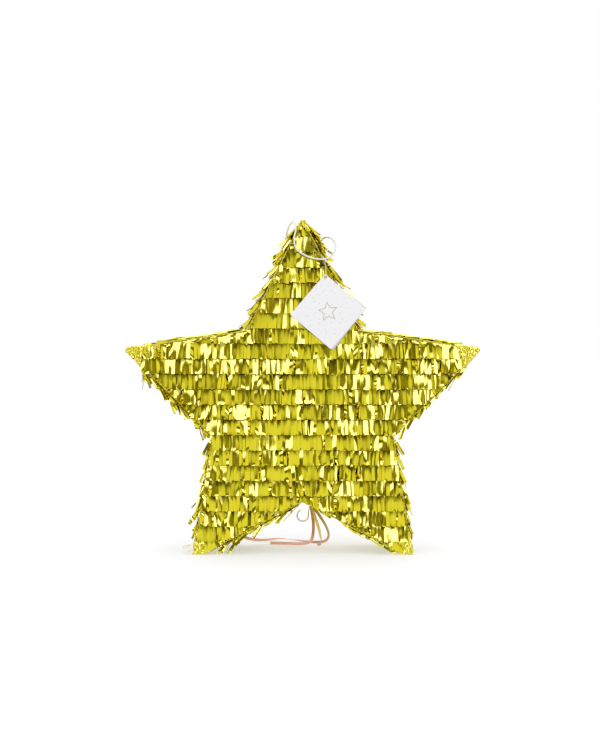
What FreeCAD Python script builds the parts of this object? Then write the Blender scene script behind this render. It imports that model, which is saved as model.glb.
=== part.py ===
"""Pull-string star pinata: a cardboard star box dressed in rows of cut gold foil.

The star stands on two feet at z = 0, its front faces -Y, and it hangs from a cotton cord at the
top arm. Millimetres, +Z up. Every object with a node name as its Label is written to parts/.
"""
import FreeCAD
import Part
import math
import os
import re
from FreeCAD import Placement, Rotation, Vector

doc = FreeCAD.newDocument("Pinata")

# ---------------------------------------------------------------- driving dimensions

DIMENSIONS = [
    ("tip_radius", 240, "middle of the star to the sharp point of an arm"),
    ("valley_radius", 121, "middle of the star to the corner between two arms"),
    ("tip_blunt", 3, "taken off the point of the top and side arms"),
    ("sole_cut", 5, "taken off the two feet, to give flat soles"),
    ("body_depth", 80, "front face to back face"),
    ("board", 3, "corrugated cardboard"),
    ("tape_thick", 0.2, "paper tape"),
    ("tape_width", 12, "one leg of a folded tape"),
    ("row_pitch", 19.5, "height of one foil row that shows"),
    ("fringe_length", 25, "full length of a foil strip"),
    ("fringe_glued", 4, "part of a strip that is glued down"),
    ("fringe_thick", 0.8, "the layered foil of one row"),
    ("fringe_lean", 3.8, "how far the free ends stand off"),
    ("wrap_length", 23, "bare foil round an arm tip, past the blunt end"),
    ("wrap_thick", 0.6, "foil folded round a tip"),
    ("door_start", 9, "notch corner to the free edge of the trap door"),
    ("door_length", 44, "free edge of the trap door to its crease"),
    ("door_width", 56, "trap door, across the depth of the star"),
    ("flap_width", 90, "filling flap on the back"),
    ("flap_height", 68, "filling flap on the back"),
    ("flap_base", 166, "lower edge of the filling flap above the floor"),
    ("door_gap", 0.5, "cut round the door and the flap"),
    ("crease_strip", 7, "bare strip beside a crease"),
    ("cord_thick", 2.2, "hanging cord"),
    ("cord_hole", 5, "hole for the hanging cord"),
    ("cord_hole_height", 400.6, "hole above the floor, in the middle of the wall"),
    ("cord_hole_back", 12, "hole behind the middle of the star"),
    ("knot_radius", 3, "knot inside each hole"),
    ("tag_side", 68.5, "square folded tag"),
    ("tag_tilt", 40.5, "lean of the tag's upper right edge from level"),
    ("tag_leaf", 0.6, "one leaf of the tag"),
    ("tag_front", 47.1, "front of the tag before the middle of the star"),
    ("tag_hole", 4, "punched hole in the tag's top corner"),
    ("thread_thick", 0.6, "tag thread"),
    ("thread_gap", 1.9, "half the width of the thread's loop"),
    ("ribbon_width", 4, "pull ribbons"),
    ("curl_width", 2, "thin curled ribbon"),
]

sheet = doc.addObject("Spreadsheet::Sheet", "Dimensions")
for line, (alias, value, note) in enumerate(DIMENSIONS, start=1):
    sheet.set(f"A{line}", alias)
    sheet.set(f"B{line}", str(value))
    sheet.set(f"C{line}", note)
    sheet.setAlias(f"B{line}", alias)
doc.recompute()

ALIAS = re.compile(r"\b(" + "|".join(alias for alias, _, _ in DIMENSIONS) + r")\b")


def bound(formula):
    """The formula with each dimension's name pointing at its cell."""
    return ALIAS.sub(r"Dimensions.\1", str(formula))


def value(formula):
    """The formula's size now, as a number."""
    result = sheet.evalExpression(bound(formula))
    return float(getattr(result, "Value", result))


# ---------------------------------------------------------------- the star's geometry

CENTRE = "(tip_radius * cos(36 deg) - sole_cut)"
HALF_POINT = "atan(valley_radius * sin(36 deg) / (tip_radius - valley_radius * cos(36 deg)))"
WALL_LENGTH = (
    "sqrt(pow(valley_radius * sin(36 deg); 2)"
    " + pow(tip_radius - valley_radius * cos(36 deg); 2))"
)
WALL_HALF = "(body_depth / 2 - board)"
TOP, UPPER_LEFT, LOWER_LEFT, LOWER_RIGHT, UPPER_RIGHT = 90, 162, 234, 306, 18
ARMS = {
    "top_arm": TOP,
    "left_arm": UPPER_LEFT,
    "left_leg": LOWER_LEFT,
    "right_leg": LOWER_RIGHT,
    "right_arm": UPPER_RIGHT,
}


def polar(radius, angle):
    """A point at this distance and direction from the middle of the star, as two formulas."""
    return (
        f"({radius}) * cos({angle} deg)",
        f"({radius}) * sin({angle} deg) + {CENTRE}",
    )


def tip_corner(angle, side, cut, radius="tip_radius"):
    """One corner of an arm's end, cut off square to the arm."""
    along = f"({radius} - ({cut}))"
    half = f"({side} * ({cut}) * tan({HALF_POINT}))"
    return (
        f"{along} * cos({angle} deg) - {half} * sin({angle} deg)",
        f"{along} * sin({angle} deg) + {half} * cos({angle} deg) + {CENTRE}",
    )


def on_wall(valley, turn, along, out):
    """A point on the wall that leaves a valley: along it towards the tip, and out from its face.

    turn is 1 where the tip lies anticlockwise of the valley, seen from the front, and -1 where
    it lies clockwise.
    """
    course = f"({valley} deg + {turn} * (36 deg + {HALF_POINT}))"
    x, z = polar("valley_radius", valley)
    return (
        f"{x} + ({along}) * cos{course} + ({out}) * sin{course} * {turn}",
        f"{z} + ({along}) * sin{course} - ({out}) * cos{course} * {turn}",
    )


def sole_corner(side, valley, radius="tip_radius", grow="0"):
    """Where the wall from this valley to a foot meets the floor; side is 1 for the right foot."""
    reach = f"({radius}) * sin(36 deg)"
    cut = f"(({radius}) * cos(36 deg) - {CENTRE})"
    inset = f"(valley_radius + {grow})"
    across = f"(({side}) * {inset} * cos({valley} deg))"
    height = f"(({radius}) * cos(36 deg) + {inset} * sin({valley} deg))"
    return f"{side} * ({reach} + ({across} - {reach}) * {cut} / {height})", "0"


def star_outline(grow="0", end_cut="tip_blunt", soles=True):
    """The star's outline; grow moves every edge out, end_cut takes the points off."""
    tip = f"(tip_radius + ({grow}) / sin({HALF_POINT}))"
    valley = f"({grow}) / sin(36 deg + {HALF_POINT})"
    cut = f"{end_cut} + ({grow}) / sin({HALF_POINT}) - ({grow})"
    points = []
    for angle in ARMS.values():
        side = {LOWER_LEFT: -1, LOWER_RIGHT: 1}.get(angle, 0)
        points.append(polar(f"valley_radius + {valley}", angle - 36))
        if side and soles:
            before, after = (angle - 36, angle + 36)
            points.append(sole_corner(side, before, tip, valley))
            points.append(sole_corner(side, after, tip, valley))
        else:
            points.append(tip_corner(angle, -1, cut, tip))
            points.append(tip_corner(angle, 1, cut, tip))
    return points


# ---------------------------------------------------------------- building helpers

PLANES = {
    "XZ": Rotation(Vector(1, 0, 0), Vector(0, 0, 1), Vector(0, -1, 0), "ZXY"),
    "YZ": Rotation(Vector(0, 1, 0), Vector(0, 0, 1), Vector(1, 0, 0), "ZXY"),
}
nodes = []


def node(item, label):
    """Give an object its node name and put it on the list of pieces to write."""
    item.Label = label
    nodes.append(item)
    return item


def draw_polygon(sketch, points):
    """A closed outline whose every corner is held by the two formulas given for it."""
    spots = [Vector(value(x), value(y), 0) for x, y in points]
    first = sketch.GeometryCount
    for start, end in zip(spots, spots[1:] + spots[:1]):
        sketch.addGeometry(Part.LineSegment(start, end), False)
    for index in range(len(spots)):
        after = (index + 1) % len(spots)
        sketch.addConstraint(
            Sketcher.Constraint("Coincident", first + index, 2, first + after, 1)
        )
    for index, (spot, formulas) in enumerate(zip(spots, points)):
        for kind, place, formula in zip(("DistanceX", "DistanceY"), spot, formulas):
            if abs(place) < 1e-6:
                axis = -2 if kind == "DistanceX" else -1
                held = Sketcher.Constraint("PointOnObject", first + index, 1, axis)
                sketch.addConstraint(held)
                continue
            held = Sketcher.Constraint(kind, -1, 1, first + index, 1, place)
            number = sketch.addConstraint(held)
            sketch.setExpression(f"Constraints[{number}]", bound(formula))


def free_sketch(name, plane, polygons, offset="0"):
    """A sketch on its own, square to Y or to X, at this distance along that axis."""
    sketch = doc.addObject("Sketcher::SketchObject", name)
    sketch.Placement = Placement(Vector(0, 0, 0), PLANES[plane])
    axis = "y" if plane == "XZ" else "x"
    sketch.setExpression(f"Placement.Base.{axis}", bound(offset))
    for points in polygons:
        draw_polygon(sketch, points)
    return sketch


def body_sketch(body, name, polygons, offset):
    """A sketch in a body, on its XZ plane, moved to y = offset."""
    sketch = body.newObject("Sketcher::SketchObject", name)
    plane = next(f for f in body.Origin.OriginFeatures if f.Role == "XZ_Plane")
    sketch.AttachmentSupport = [(plane, "")]
    sketch.MapMode = "FlatFace"
    sketch.setExpression("AttachmentOffset.Base.z", bound(f"-({offset})"))
    for points in polygons:
        draw_polygon(sketch, points)
    return sketch


def plate(label, polygons, back, thickness):
    """A flat piece with this outline and holes, from y = back forwards by its thickness."""
    body = node(doc.addObject("PartDesign::Body", label), label)
    sketch = body_sketch(body, f"{label}_outline", polygons, back)
    pad = body.newObject("PartDesign::Pad", f"{label}_pad")
    pad.Profile = sketch
    pad.setExpression("Length", bound(thickness))
    sketch.Visibility = False
    return body


def cut_slot(body, name, points, front, length):
    """A pocket with this outline, from y = front backwards by its length."""
    sketch = body_sketch(body, f"{name}_outline", [points], front)
    pocket = body.newObject("PartDesign::Pocket", name)
    pocket.Profile = sketch
    pocket.setExpression("Length", bound(length))
    return pocket


def extrusion(sketch, direction, length, name):
    """A sketch drawn out on both sides of its plane."""
    solid = doc.addObject("Part::Extrusion", name)
    solid.Base = sketch
    solid.DirMode = "Custom"
    solid.Dir = direction
    solid.Solid = True
    solid.Symmetric = True
    solid.setExpression("LengthFwd", bound(length))
    return solid


def boolean(kind, base, tool, label):
    result = doc.addObject(f"Part::{kind}", label)
    result.Base = base
    result.Tool = tool
    return result


def box(name, low, high):
    """A box between two corners given as formulas."""
    solid = doc.addObject("Part::Box", name)
    for axis, side, start, end in zip("xyz", ("Length", "Width", "Height"), low, high):
        solid.setExpression(f"Placement.Base.{axis}", bound(start))
        solid.setExpression(side, bound(f"({end}) - ({start})"))
    return solid


def cylinder(name, radius, length, axis, centre):
    """A cylinder centred on a point, along the given axis."""
    solid = doc.addObject("Part::Cylinder", name)
    solid.setExpression("Radius", bound(radius))
    solid.setExpression("Height", bound(length))
    turn = Rotation(Vector(0, 0, 1), Vector(*axis))
    half = Vector(*axis) * (value(length) / 2)
    solid.Placement = Placement(Vector(*map(value, centre)) - half, turn)
    return solid


import Sketcher  # noqa: E402  (the sketcher loads after FreeCAD and Part)

# ---------------------------------------------------------------- cardboard box

FLAP_TOP = "(flap_base + flap_height)"


def flap_outline(gap):
    """The filling flap's rectangle, or with a gap the hole that it closes."""
    half, low, high = f"(flap_width / 2 + {gap})", f"(flap_base - {gap})", FLAP_TOP
    return [(f"-{half}", low), (half, low), (half, high), (f"-{half}", high)]


plate("front_panel", [star_outline()], f"-{WALL_HALF}", "board")
plate("back_panel", [star_outline(), flap_outline("door_gap")], "body_depth / 2", "board")


def arm_wall(name, angle):
    """The cardboard strip folded round one arm, with a V section."""
    inner_valley = f"valley_radius - board / sin(36 deg + {HALF_POINT})"
    inner_tip = f"tip_radius - board / sin({HALF_POINT})"
    side = {LOWER_LEFT: -1, LOWER_RIGHT: 1}.get(angle, 0)
    if side:
        ends = [sole_corner(side, angle - 36), sole_corner(side, angle + 36)]
    else:
        ends = [tip_corner(angle, -1, "tip_blunt"), tip_corner(angle, 1, "tip_blunt")]
    points = [
        polar("valley_radius", angle - 36),
        *ends,
        polar("valley_radius", angle + 36),
        polar(inner_valley, angle + 36),
        polar(inner_tip, angle),
        polar(inner_valley, angle - 36),
    ]
    return plate(f"wall_{name}", [points], WALL_HALF, f"2 * {WALL_HALF}")


walls = {name: arm_wall(name, angle) for name, angle in ARMS.items()}


def on_notch(along, out):
    """A point on the notch side of the right leg, where the trap door is."""
    return on_wall(-90, 1, along, out)


DOOR_END = "(door_start + door_length)"
doorway = [
    on_notch("door_start - door_gap", "1"),
    on_notch(DOOR_END, "1"),
    on_notch(DOOR_END, "-2 * board"),
    on_notch("door_start - door_gap", "-2 * board"),
]
cut_slot(
    walls["right_leg"],
    "doorway",
    doorway,
    "-(door_width / 2 + door_gap)",
    "door_width + 2 * door_gap",
)

# Round holes through both sides of the top arm, for the hanging cord.
for side, name in ((-1, "left"), (1, "right")):
    body = walls["top_arm"]
    reach = f"({CENTRE} + tip_radius - cord_hole_height) * tan({HALF_POINT})"
    sketch = body.newObject("Sketcher::SketchObject", f"cord_hole_{name}_circle")
    sketch.Placement = Placement(Vector(0, 0, 0), PLANES["YZ"])
    circle = Part.Circle(
        Vector(value("cord_hole_back"), value("cord_hole_height"), 0),
        Vector(0, 0, 1),
        value("cord_hole / 2"),
    )
    sketch.addGeometry(circle, False)
    for kind, formula in (
        ("DistanceX", "cord_hole_back"),
        ("DistanceY", "cord_hole_height"),
    ):
        held = Sketcher.Constraint(kind, -1, 1, 0, 3, value(formula))
        number = sketch.addConstraint(held)
        sketch.setExpression(f"Constraints[{number}]", bound(formula))
    number = sketch.addConstraint(Sketcher.Constraint("Diameter", 0, value("cord_hole")))
    sketch.setExpression(f"Constraints[{number}]", bound("cord_hole"))
    pocket = body.newObject("PartDesign::Pocket", f"cord_hole_{name}")
    pocket.Profile = sketch
    pocket.Reversed = side > 0
    pocket.setExpression("Length", bound(f"2 * {reach}"))

# The trap door, hinged on its crease, with a slot for the ribbons near its free edge.
door_outline = [
    on_notch("door_start", "0"),
    on_notch(f"{DOOR_END} - 0.3", "0"),
    on_notch(f"{DOOR_END} - 0.3", "-board"),
    on_notch("door_start", "-board"),
]
trap_door = plate("trap_door", [door_outline], "door_width / 2", "door_width")
ribbon_slot = [
    on_notch("door_start + 2.6", "1"),
    on_notch("door_start + 4.4", "1"),
    on_notch("door_start + 4.4", "-board - 1"),
    on_notch("door_start + 2.6", "-board - 1"),
]
cut_slot(trap_door, "ribbon_slot", ribbon_slot, "-13", "26")

# The filling flap, hinged along its top edge.
plate("fill_flap", [flap_outline("0")[:2] + [
    ("flap_width / 2", f"{FLAP_TOP} - 0.3"),
    ("-flap_width / 2", f"{FLAP_TOP} - 0.3"),
]], "body_depth / 2", "board")

# ---------------------------------------------------------------- tapes


def wall_strip(start, end, low, high):
    """The section of a thin strip lying on the notch wall."""
    return [
        on_notch(start, low),
        on_notch(end, low),
        on_notch(end, high),
        on_notch(start, high),
    ]


plate(
    "trap_door_tape_fixed",
    [wall_strip(f"{DOOR_END} + 0.3", f"{DOOR_END} + tape_width", "0", "tape_thick")],
    "door_width / 2",
    "door_width",
)
plate(
    "trap_door_tape_moving",
    [
        wall_strip(
            f"{DOOR_END} - crease_strip", f"{DOOR_END} - 0.3", "0", "tape_thick"
        )
    ],
    "door_width / 2",
    "door_width",
)


def flap_tape(label, low, high):
    """A strip of tape on the back face, along the flap's crease."""
    half = "(flap_width / 2)"
    outline = [(f"-{half}", low), (half, low), (half, high), (f"-{half}", high)]
    plate(label, [outline], "body_depth / 2 + tape_thick", "tape_thick")


flap_tape("fill_flap_tape_fixed", f"{FLAP_TOP} + 0.3", f"{FLAP_TOP} + tape_width")
flap_tape("fill_flap_tape_moving", f"{FLAP_TOP} - crease_strip", f"{FLAP_TOP} - 0.3")


def seam_tape(valley):
    """Folded tape inside the corner between two arms, joining their walls."""
    corner = f"valley_radius - board / sin(36 deg + {HALF_POINT})"
    inner = f"{corner} - tape_thick / sin(36 deg + {HALF_POINT})"
    points = [polar(corner, valley)]
    ends = []
    for turn in (-1, 1):
        course = f"({valley} deg + {turn} * (36 deg + {HALF_POINT}))"
        x, z = polar(corner, valley)
        for lift in ("0", "tape_thick"):
            ends.append(
                (
                    f"{x} + tape_width * cos{course} - {lift} * sin{course} * {turn}",
                    f"{z} + tape_width * sin{course} + {lift} * cos{course} * {turn}",
                )
            )
    points += [ends[0], ends[1], polar(inner, valley), ends[3], ends[2]]
    return points


TAPED = [54, 126, 198, 342]
seams = free_sketch("seam_tape_outline", "XZ", [seam_tape(angle) for angle in TAPED])
node(extrusion(seams, Vector(0, 1, 0), f"2 * {WALL_HALF}", "seam_tapes"), "seam_tapes")

# ---------------------------------------------------------------- foil rows, front and back

ROWS = 22
fringe_area = free_sketch(
    "fringe_area", "XZ", [star_outline(end_cut="(tip_blunt + wrap_length)", soles=False)]
)
fringe_prism = extrusion(fringe_area, Vector(0, 1, 0), "2 * body_depth", "fringe_prism")
tip_area = free_sketch("tip_area", "XZ", [star_outline(end_cut="tip_blunt", soles=False)])
tip_prism = extrusion(tip_area, Vector(0, 1, 0), "2 * body_depth", "tip_prism")


def row_section(row, face):
    """Section of one row: glued at the top, its free edge standing off; face -1 is the front."""
    top = f"({CENTRE} + tip_radius - tip_blunt - {row} * row_pitch + fringe_length)"
    highest = f"({CENTRE} + tip_radius - tip_blunt)"
    top = f"min({top}; {highest})"
    bottom = f"({CENTRE} + tip_radius - tip_blunt - ({row}) * row_pitch)"
    fold = f"({top} - fringe_glued)"
    surface = "body_depth / 2"
    return [
        (f"{face} * ({surface})", top),
        (f"{face} * ({surface})", fold),
        (f"{face} * ({surface} + fringe_lean - fringe_thick)", bottom),
        (f"{face} * ({surface} + fringe_lean)", bottom),
        (f"{face} * ({surface} + fringe_thick)", fold),
        (f"{face} * ({surface} + fringe_thick)", top),
    ]


def row_bar(row, face, name):
    """One row over the whole width of the star, before it is cut to the outline."""
    sketch = free_sketch(f"{name}_section", "YZ", [row_section(row, face)])
    return extrusion(sketch, Vector(1, 0, 0), "2 * tip_radius", f"{name}_bar")


# The rows near the top reach the tip; the others stop at the bare ends of the arms.
for row in range(1, ROWS + 1):
    label = f"front_fringe_row_{row:02d}"
    area = tip_prism if row <= 3 else fringe_prism
    node(boolean("Common", row_bar(row, -1, label), area, label), label)

BACK_GROUPS = {"upper": range(1, 8), "middle": range(8, 15), "lower": range(15, ROWS + 1)}
flap_hole = box(
    "back_fringe_hole",
    ("-flap_width / 2 - 1", "body_depth / 2 - 1", "flap_base - 1"),
    ("flap_width / 2 + 1", "body_depth", f"{FLAP_TOP} + tape_width + 0.5"),
)
flap_area = box(
    "fill_flap_fringe_area",
    ("-flap_width / 2", "body_depth / 2 - 1", "flap_base"),
    ("flap_width / 2", "body_depth", f"{FLAP_TOP} - crease_strip - 0.3"),
)
back_bars = {row: row_bar(row, 1, f"back_row_{row:02d}") for row in range(1, ROWS + 1)}
for name, rows in BACK_GROUPS.items():
    bars = doc.addObject("Part::Compound", f"back_bars_{name}")
    bars.Links = [back_bars[row] for row in rows]
    label = f"back_fringe_{name}"
    if name == "upper":
        tip_bars = doc.addObject("Part::Compound", "back_bars_tip")
        tip_bars.Links = [back_bars[row] for row in rows if row <= 3]
        low_bars = doc.addObject("Part::Compound", "back_bars_below_tip")
        low_bars.Links = [back_bars[row] for row in rows if row > 3]
        parts = doc.addObject("Part::Compound", label)
        parts.Links = [
            boolean("Common", tip_bars, tip_prism, "back_tip_rows"),
            boolean("Common", low_bars, fringe_prism, "back_rows_below_tip"),
        ]
        doc.removeObject(bars.Name)
        node(parts, label)
        continue
    shaped = boolean("Common", bars, fringe_prism, f"back_rows_{name}")
    node(boolean("Cut", shaped, flap_hole, label), label)

flap_bars = doc.addObject("Part::Compound", "fill_flap_bars")
flap_bars.Links = [
    row_bar(row, 1, f"flap_row_{row:02d}")
    for row in range(1, ROWS + 1)
    if value("flap_base") < value(row_section(row, 1)[0][1]) - 5
    and value(row_section(row, 1)[2][1]) < value(FLAP_TOP) - 14
]
flap_rows = boolean("Common", flap_bars, flap_area, "fill_flap_fringe")
node(flap_rows, "fill_flap_fringe")

# ---------------------------------------------------------------- foil on the side walls


def strip_section(valley, turn, fixed, course):
    """Section of one row on a wall; course is 1 towards the tip and -1 towards the valley."""
    length, glued = f"{course} * fringe_length", f"{course} * fringe_glued"
    return [
        on_wall(valley, turn, fixed, "0"),
        on_wall(valley, turn, f"{fixed} + {glued}", "0"),
        on_wall(valley, turn, f"{fixed} + {length}", "fringe_lean - fringe_thick"),
        on_wall(valley, turn, f"{fixed} + {length}", "fringe_lean"),
        on_wall(valley, turn, f"{fixed} + {glued}", "fringe_thick"),
        on_wall(valley, turn, fixed, "fringe_thick"),
    ]


def wall_rows(valley, turn, start, course, count):
    """The sections of the rows on one wall, from the first glued edge on."""
    return [
        strip_section(valley, turn, f"({start} + {course * k} * row_pitch)", course)
        for k in range(count)
    ]


BARE = f"({WALL_LENGTH} - (tip_blunt + wrap_length) / cos({HALF_POINT}))"
SIDE_ROWS = {
    "top_arm": wall_rows(54, 1, f"({WALL_LENGTH} - 4)", -1, 7)
    + wall_rows(126, -1, f"({WALL_LENGTH} - 4)", -1, 7),
    "left_arm": wall_rows(126, 1, "3", 1, 6) + wall_rows(198, -1, f"({BARE} - 1)", -1, 6),
    "left_leg": wall_rows(198, 1, "3", 1, 6) + wall_rows(270, -1, "3", 1, 6),
    "right_leg": wall_rows(-90, 1, f"({DOOR_END} + tape_width + 1)", 1, 3)
    + wall_rows(-18, -1, "3", 1, 6),
    "right_arm": wall_rows(-18, 1, f"({BARE} - 1)", -1, 6) + wall_rows(54, -1, "3", 1, 6),
}
cord_gap = cylinder(
    "cord_gap", "cord_hole", "80", (1, 0, 0), ("0", "cord_hole_back", "cord_hole_height + 2")
)
for name, sections in SIDE_ROWS.items():
    label = f"side_fringe_{name}"
    sketch = free_sketch(f"{label}_section", "XZ", sections)
    rows = extrusion(sketch, Vector(0, 1, 0), "body_depth", f"{label}_rows")
    if name == "top_arm":
        rows = boolean("Cut", rows, cord_gap, label)
    node(rows, label)

door_fringe = [strip_section(-90, 1, "(door_start + 8)", 1)]
sketch = free_sketch("trap_door_fringe_section", "XZ", door_fringe)
node(
    extrusion(sketch, Vector(0, 1, 0), "door_width - 2", "trap_door_fringe"),
    "trap_door_fringe",
)

# Bare foil folded round the ends of the side arms and the feet.
shell_area = free_sketch("wrap_area", "XZ", [star_outline(grow="wrap_thick")])
shell = extrusion(
    shell_area, Vector(0, 1, 0), "body_depth + 2 * wrap_thick", "wrap_outside"
)
core_area = free_sketch("core_area", "XZ", [star_outline()])
core = extrusion(core_area, Vector(0, 1, 0), "body_depth", "wrap_inside")
skin = boolean("Cut", shell, core, "wrap_skin")
inner_area = free_sketch(
    "wrap_limit",
    "XZ",
    [
        [
            tip_corner(angle, side, "(tip_blunt + wrap_length - 0.5)")
            for angle in (TOP, UPPER_LEFT, LOWER_LEFT, LOWER_RIGHT, UPPER_RIGHT)
            for side in (-9, 9)
            if angle != TOP
        ]
        + [("60", f"{CENTRE} + 2 * tip_radius"), ("-60", f"{CENTRE} + 2 * tip_radius")]
    ],
)
limit = extrusion(inner_area, Vector(0, 1, 0), "2 * body_depth", "wrap_limit_prism")
node(boolean("Cut", skin, limit, "tip_wraps"), "tip_wraps")

# ---------------------------------------------------------------- cord, thread and ribbons


def tube(label, points, width):
    """A cord along straight runs joined by tangent arcs, as one solid of round section."""
    spots = [Vector(*point) for point in points]
    edges, start = [], spots[0]
    tightest, length = math.inf, 0.0
    for before, corner, after in zip(spots, spots[1:], spots[2:]):
        incoming, outgoing = (corner - before), (after - corner)
        run = min(incoming.Length, outgoing.Length)
        incoming.normalize()
        outgoing.normalize()
        half_turn = incoming.getAngle(outgoing) / 2
        if half_turn < 0.01:
            continue
        setback = 0.45 * run
        tightest = min(tightest, setback / math.tan(half_turn))
        arc_start, arc_end = corner - incoming * setback, corner + outgoing * setback
        inward = outgoing - incoming
        inward.normalize()
        radius = setback / math.tan(half_turn)
        middle = corner + inward * (radius / math.cos(half_turn) - radius)
        edges.append(Part.makeLine(start, arc_start))
        edges.append(Part.Arc(arc_start, middle, arc_end).toShape())
        start = arc_end
    edges.append(Part.makeLine(start, spots[-1]))
    path = Part.Wire(edges)
    length = path.Length
    course = spots[1] - spots[0]
    profile = Part.Wire(Part.makeCircle(width / 2, spots[0], course))
    solid = path.makePipeShell([profile], True, False, 2)
    item = node(doc.addObject("Part::Feature", label), label)
    item.Shape = solid
    area = math.pi * width * width / 4
    print(f"{label}: length {length:.1f} mm, tightest bend {tightest:.1f} mm,", end=" ")
    print(f"volume {solid.Volume / (area * length):.4f} of section x length")
    return item


# The hanging cord leaves the left hole, goes over the tip, hangs in a loop across the front of
# the top arm and goes back in at the right hole.
HANG_CORD = [
    (-7.6, 12, 397.9),
    (-20.2, 12, 404.2),
    (-22, 0, 416),
    (-17.5, -15, 427),
    (-11, -34, 429),
    (-8, -46.5, 418),
    (-12, -47, 403),
    (-8.5, -47, 390),
    (4, -47, 382),
    (16, -47, 378.3),
    (29, -46.5, 378),
    (40, -45, 384),
    (43, -41, 396),
    (38, -32, 407),
    (28, -16, 411),
    (23.7, 12, 406),
    (7.6, 12, 397.9),
]
tube("hang_cord", HANG_CORD, value("cord_thick"))


def knots(label, centres):
    """Two knots that stop the cord from pulling out, as one group."""
    balls = []
    for index, centre in enumerate(centres):
        ball = doc.addObject("Part::Sphere", f"{label}_{index + 1}")
        ball.setExpression("Radius", bound("knot_radius"))
        ball.Placement.Base = Vector(*centre)
        balls.append(ball)
    group = doc.addObject("Part::Compound", label)
    group.Links = balls
    return node(group, label)


cord_exit = Vector(HANG_CORD[0][0] - HANG_CORD[1][0], 0, HANG_CORD[0][2] - HANG_CORD[1][2])
cord_exit.normalize()
knot_place = Vector(*HANG_CORD[0]) + cord_exit * (value("knot_radius") + 0.02)
knots(
    "cord_knots",
    [
        (knot_place.x, knot_place.y, knot_place.z),
        (-knot_place.x, knot_place.y, knot_place.z),
    ],
)

# The pull ribbons hang from the slot in the trap door and trail over the floor.
RIBBON_COPPER = [
    (10.4, -3, 60.5),
    (13.5, -1, 42),
    (14.5, 4, 24),
    (12, 12, 8),
    (0, 22, 3.5),
    (-20, 30, 3),
    (-44, 34, 3),
]
RIBBON_GOLD = [
    (10.4, 3, 60.5),
    (21, 4, 46),
    (31, 10, 30),
    (36, 18, 15),
    (30, 28, 5),
    (12, 34, 4),
    (-10, 41, 6),
    (-32, 43, 8),
    (-54, 42, 5),
    (-70, 38, 7),
    (-84, 33, 12),
]
RIBBON_YELLOW = [
    (10.4, -9, 60.5),
    (16, -10, 44),
    (21.5, -8, 28),
    (24, -1, 14),
    (25, 10, 4),
    (20, 24, 3),
]
RIBBON_CURL = [
    (10.2, 9, 61),
    (8.5, 9.3, 53),
    (7.5, 9.8, 46.1),
    (7.5, 10.5, 39.9),
    (3.1, 11.2, 35.5),
    (-3.1, 11.9, 35.5),
    (-7.5, 12.6, 39.9),
    (-7.5, 13.3, 46.1),
    (-3.1, 14, 50.5),
]
tube("ribbon_copper", RIBBON_COPPER, value("ribbon_width"))
tube("ribbon_gold", RIBBON_GOLD, value("ribbon_width"))
tube("ribbon_yellow", RIBBON_YELLOW, value("ribbon_width"))
tube("ribbon_curl", RIBBON_CURL, value("curl_width"))

# A stop knot inside the trap door holds the ribbons.
knot_x, knot_z = (value(formula) for formula in on_notch("door_start + 3.5", "-board - 2.2"))
ribbon_knot = cylinder(
    "ribbon_knot", "2", "22", (0, 1, 0), (str(knot_x), "0", str(knot_z))
)
node(ribbon_knot, "ribbon_knot")

# ---------------------------------------------------------------- tag

THREAD_TOP = Vector(28.4, 0, 378.2)
HOLE = Vector(28.8, 0, 354.9)
thread_y = -(value("tag_front") - value("tag_leaf"))


def tag_point(right, down):
    """A point on the tag from its top corner, along its two upper edges."""
    lean = "tag_tilt"
    start_x, start_z = HOLE.x - 0.4, HOLE.z + 4.5
    return (
        f"{start_x:.2f} + ({right}) * cos({lean} * 1 deg) - ({down}) * sin({lean} * 1 deg)",
        f"{start_z:.2f} - ({right}) * sin({lean} * 1 deg) - ({down}) * cos({lean} * 1 deg)",
    )


def tag_leaf(label, back):
    """One square leaf of the folded tag, with a punched hole near its top corner."""
    corners = [("0", "0"), ("tag_side", "0"), ("tag_side", "tag_side"), ("0", "tag_side")]
    body = plate(label, [[tag_point(*corner) for corner in corners]], back, "tag_leaf")
    sketch = body.newObject("Sketcher::SketchObject", f"{label}_hole_circle")
    plane = next(f for f in body.Origin.OriginFeatures if f.Role == "XZ_Plane")
    sketch.AttachmentSupport = [(plane, "")]
    sketch.MapMode = "FlatFace"
    sketch.setExpression("AttachmentOffset.Base.z", bound("body_depth"))
    centre = Vector(HOLE.x, HOLE.z, 0)
    sketch.addGeometry(Part.Circle(centre, Vector(0, 0, 1), value("tag_hole / 2")), False)
    sketch.addConstraint(Sketcher.Constraint("DistanceX", -1, 1, 0, 3, HOLE.x))
    sketch.addConstraint(Sketcher.Constraint("DistanceY", -1, 1, 0, 3, HOLE.z))
    number = sketch.addConstraint(Sketcher.Constraint("Diameter", 0, value("tag_hole")))
    sketch.setExpression(f"Constraints[{number}]", bound("tag_hole"))
    hole = body.newObject("PartDesign::Pocket", f"{label}_hole")
    hole.Profile = sketch
    hole.setExpression("Length", bound("body_depth"))


tag_leaf("tag_back_leaf", "-(tag_front - 2 * tag_leaf)")
tag_leaf("tag_front_leaf", "-(tag_front - tag_leaf)")


def thread_loop():
    """The thread's closed loop, from round the cord down through the tag's hole."""
    gap = Vector(0, value("thread_gap"), 0)
    top = Vector(THREAD_TOP.x, thread_y, THREAD_TOP.z)
    bottom = Vector(HOLE.x, thread_y, HOLE.z + 0.9)
    drop = bottom - top
    drop.normalize()
    over, under = top - drop * gap.y, bottom + drop * gap.y
    path = Part.Wire(
        [
            Part.makeLine(top + gap, bottom + gap),
            Part.Arc(bottom + gap, under, bottom - gap).toShape(),
            Part.makeLine(bottom - gap, top - gap),
            Part.Arc(top - gap, over, top + gap).toShape(),
        ]
    )
    ring = Part.makeCircle(value("thread_thick") / 2, top + gap, drop)
    return path.makePipeShell([Part.Wire(ring)], True, False, 2)


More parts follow.
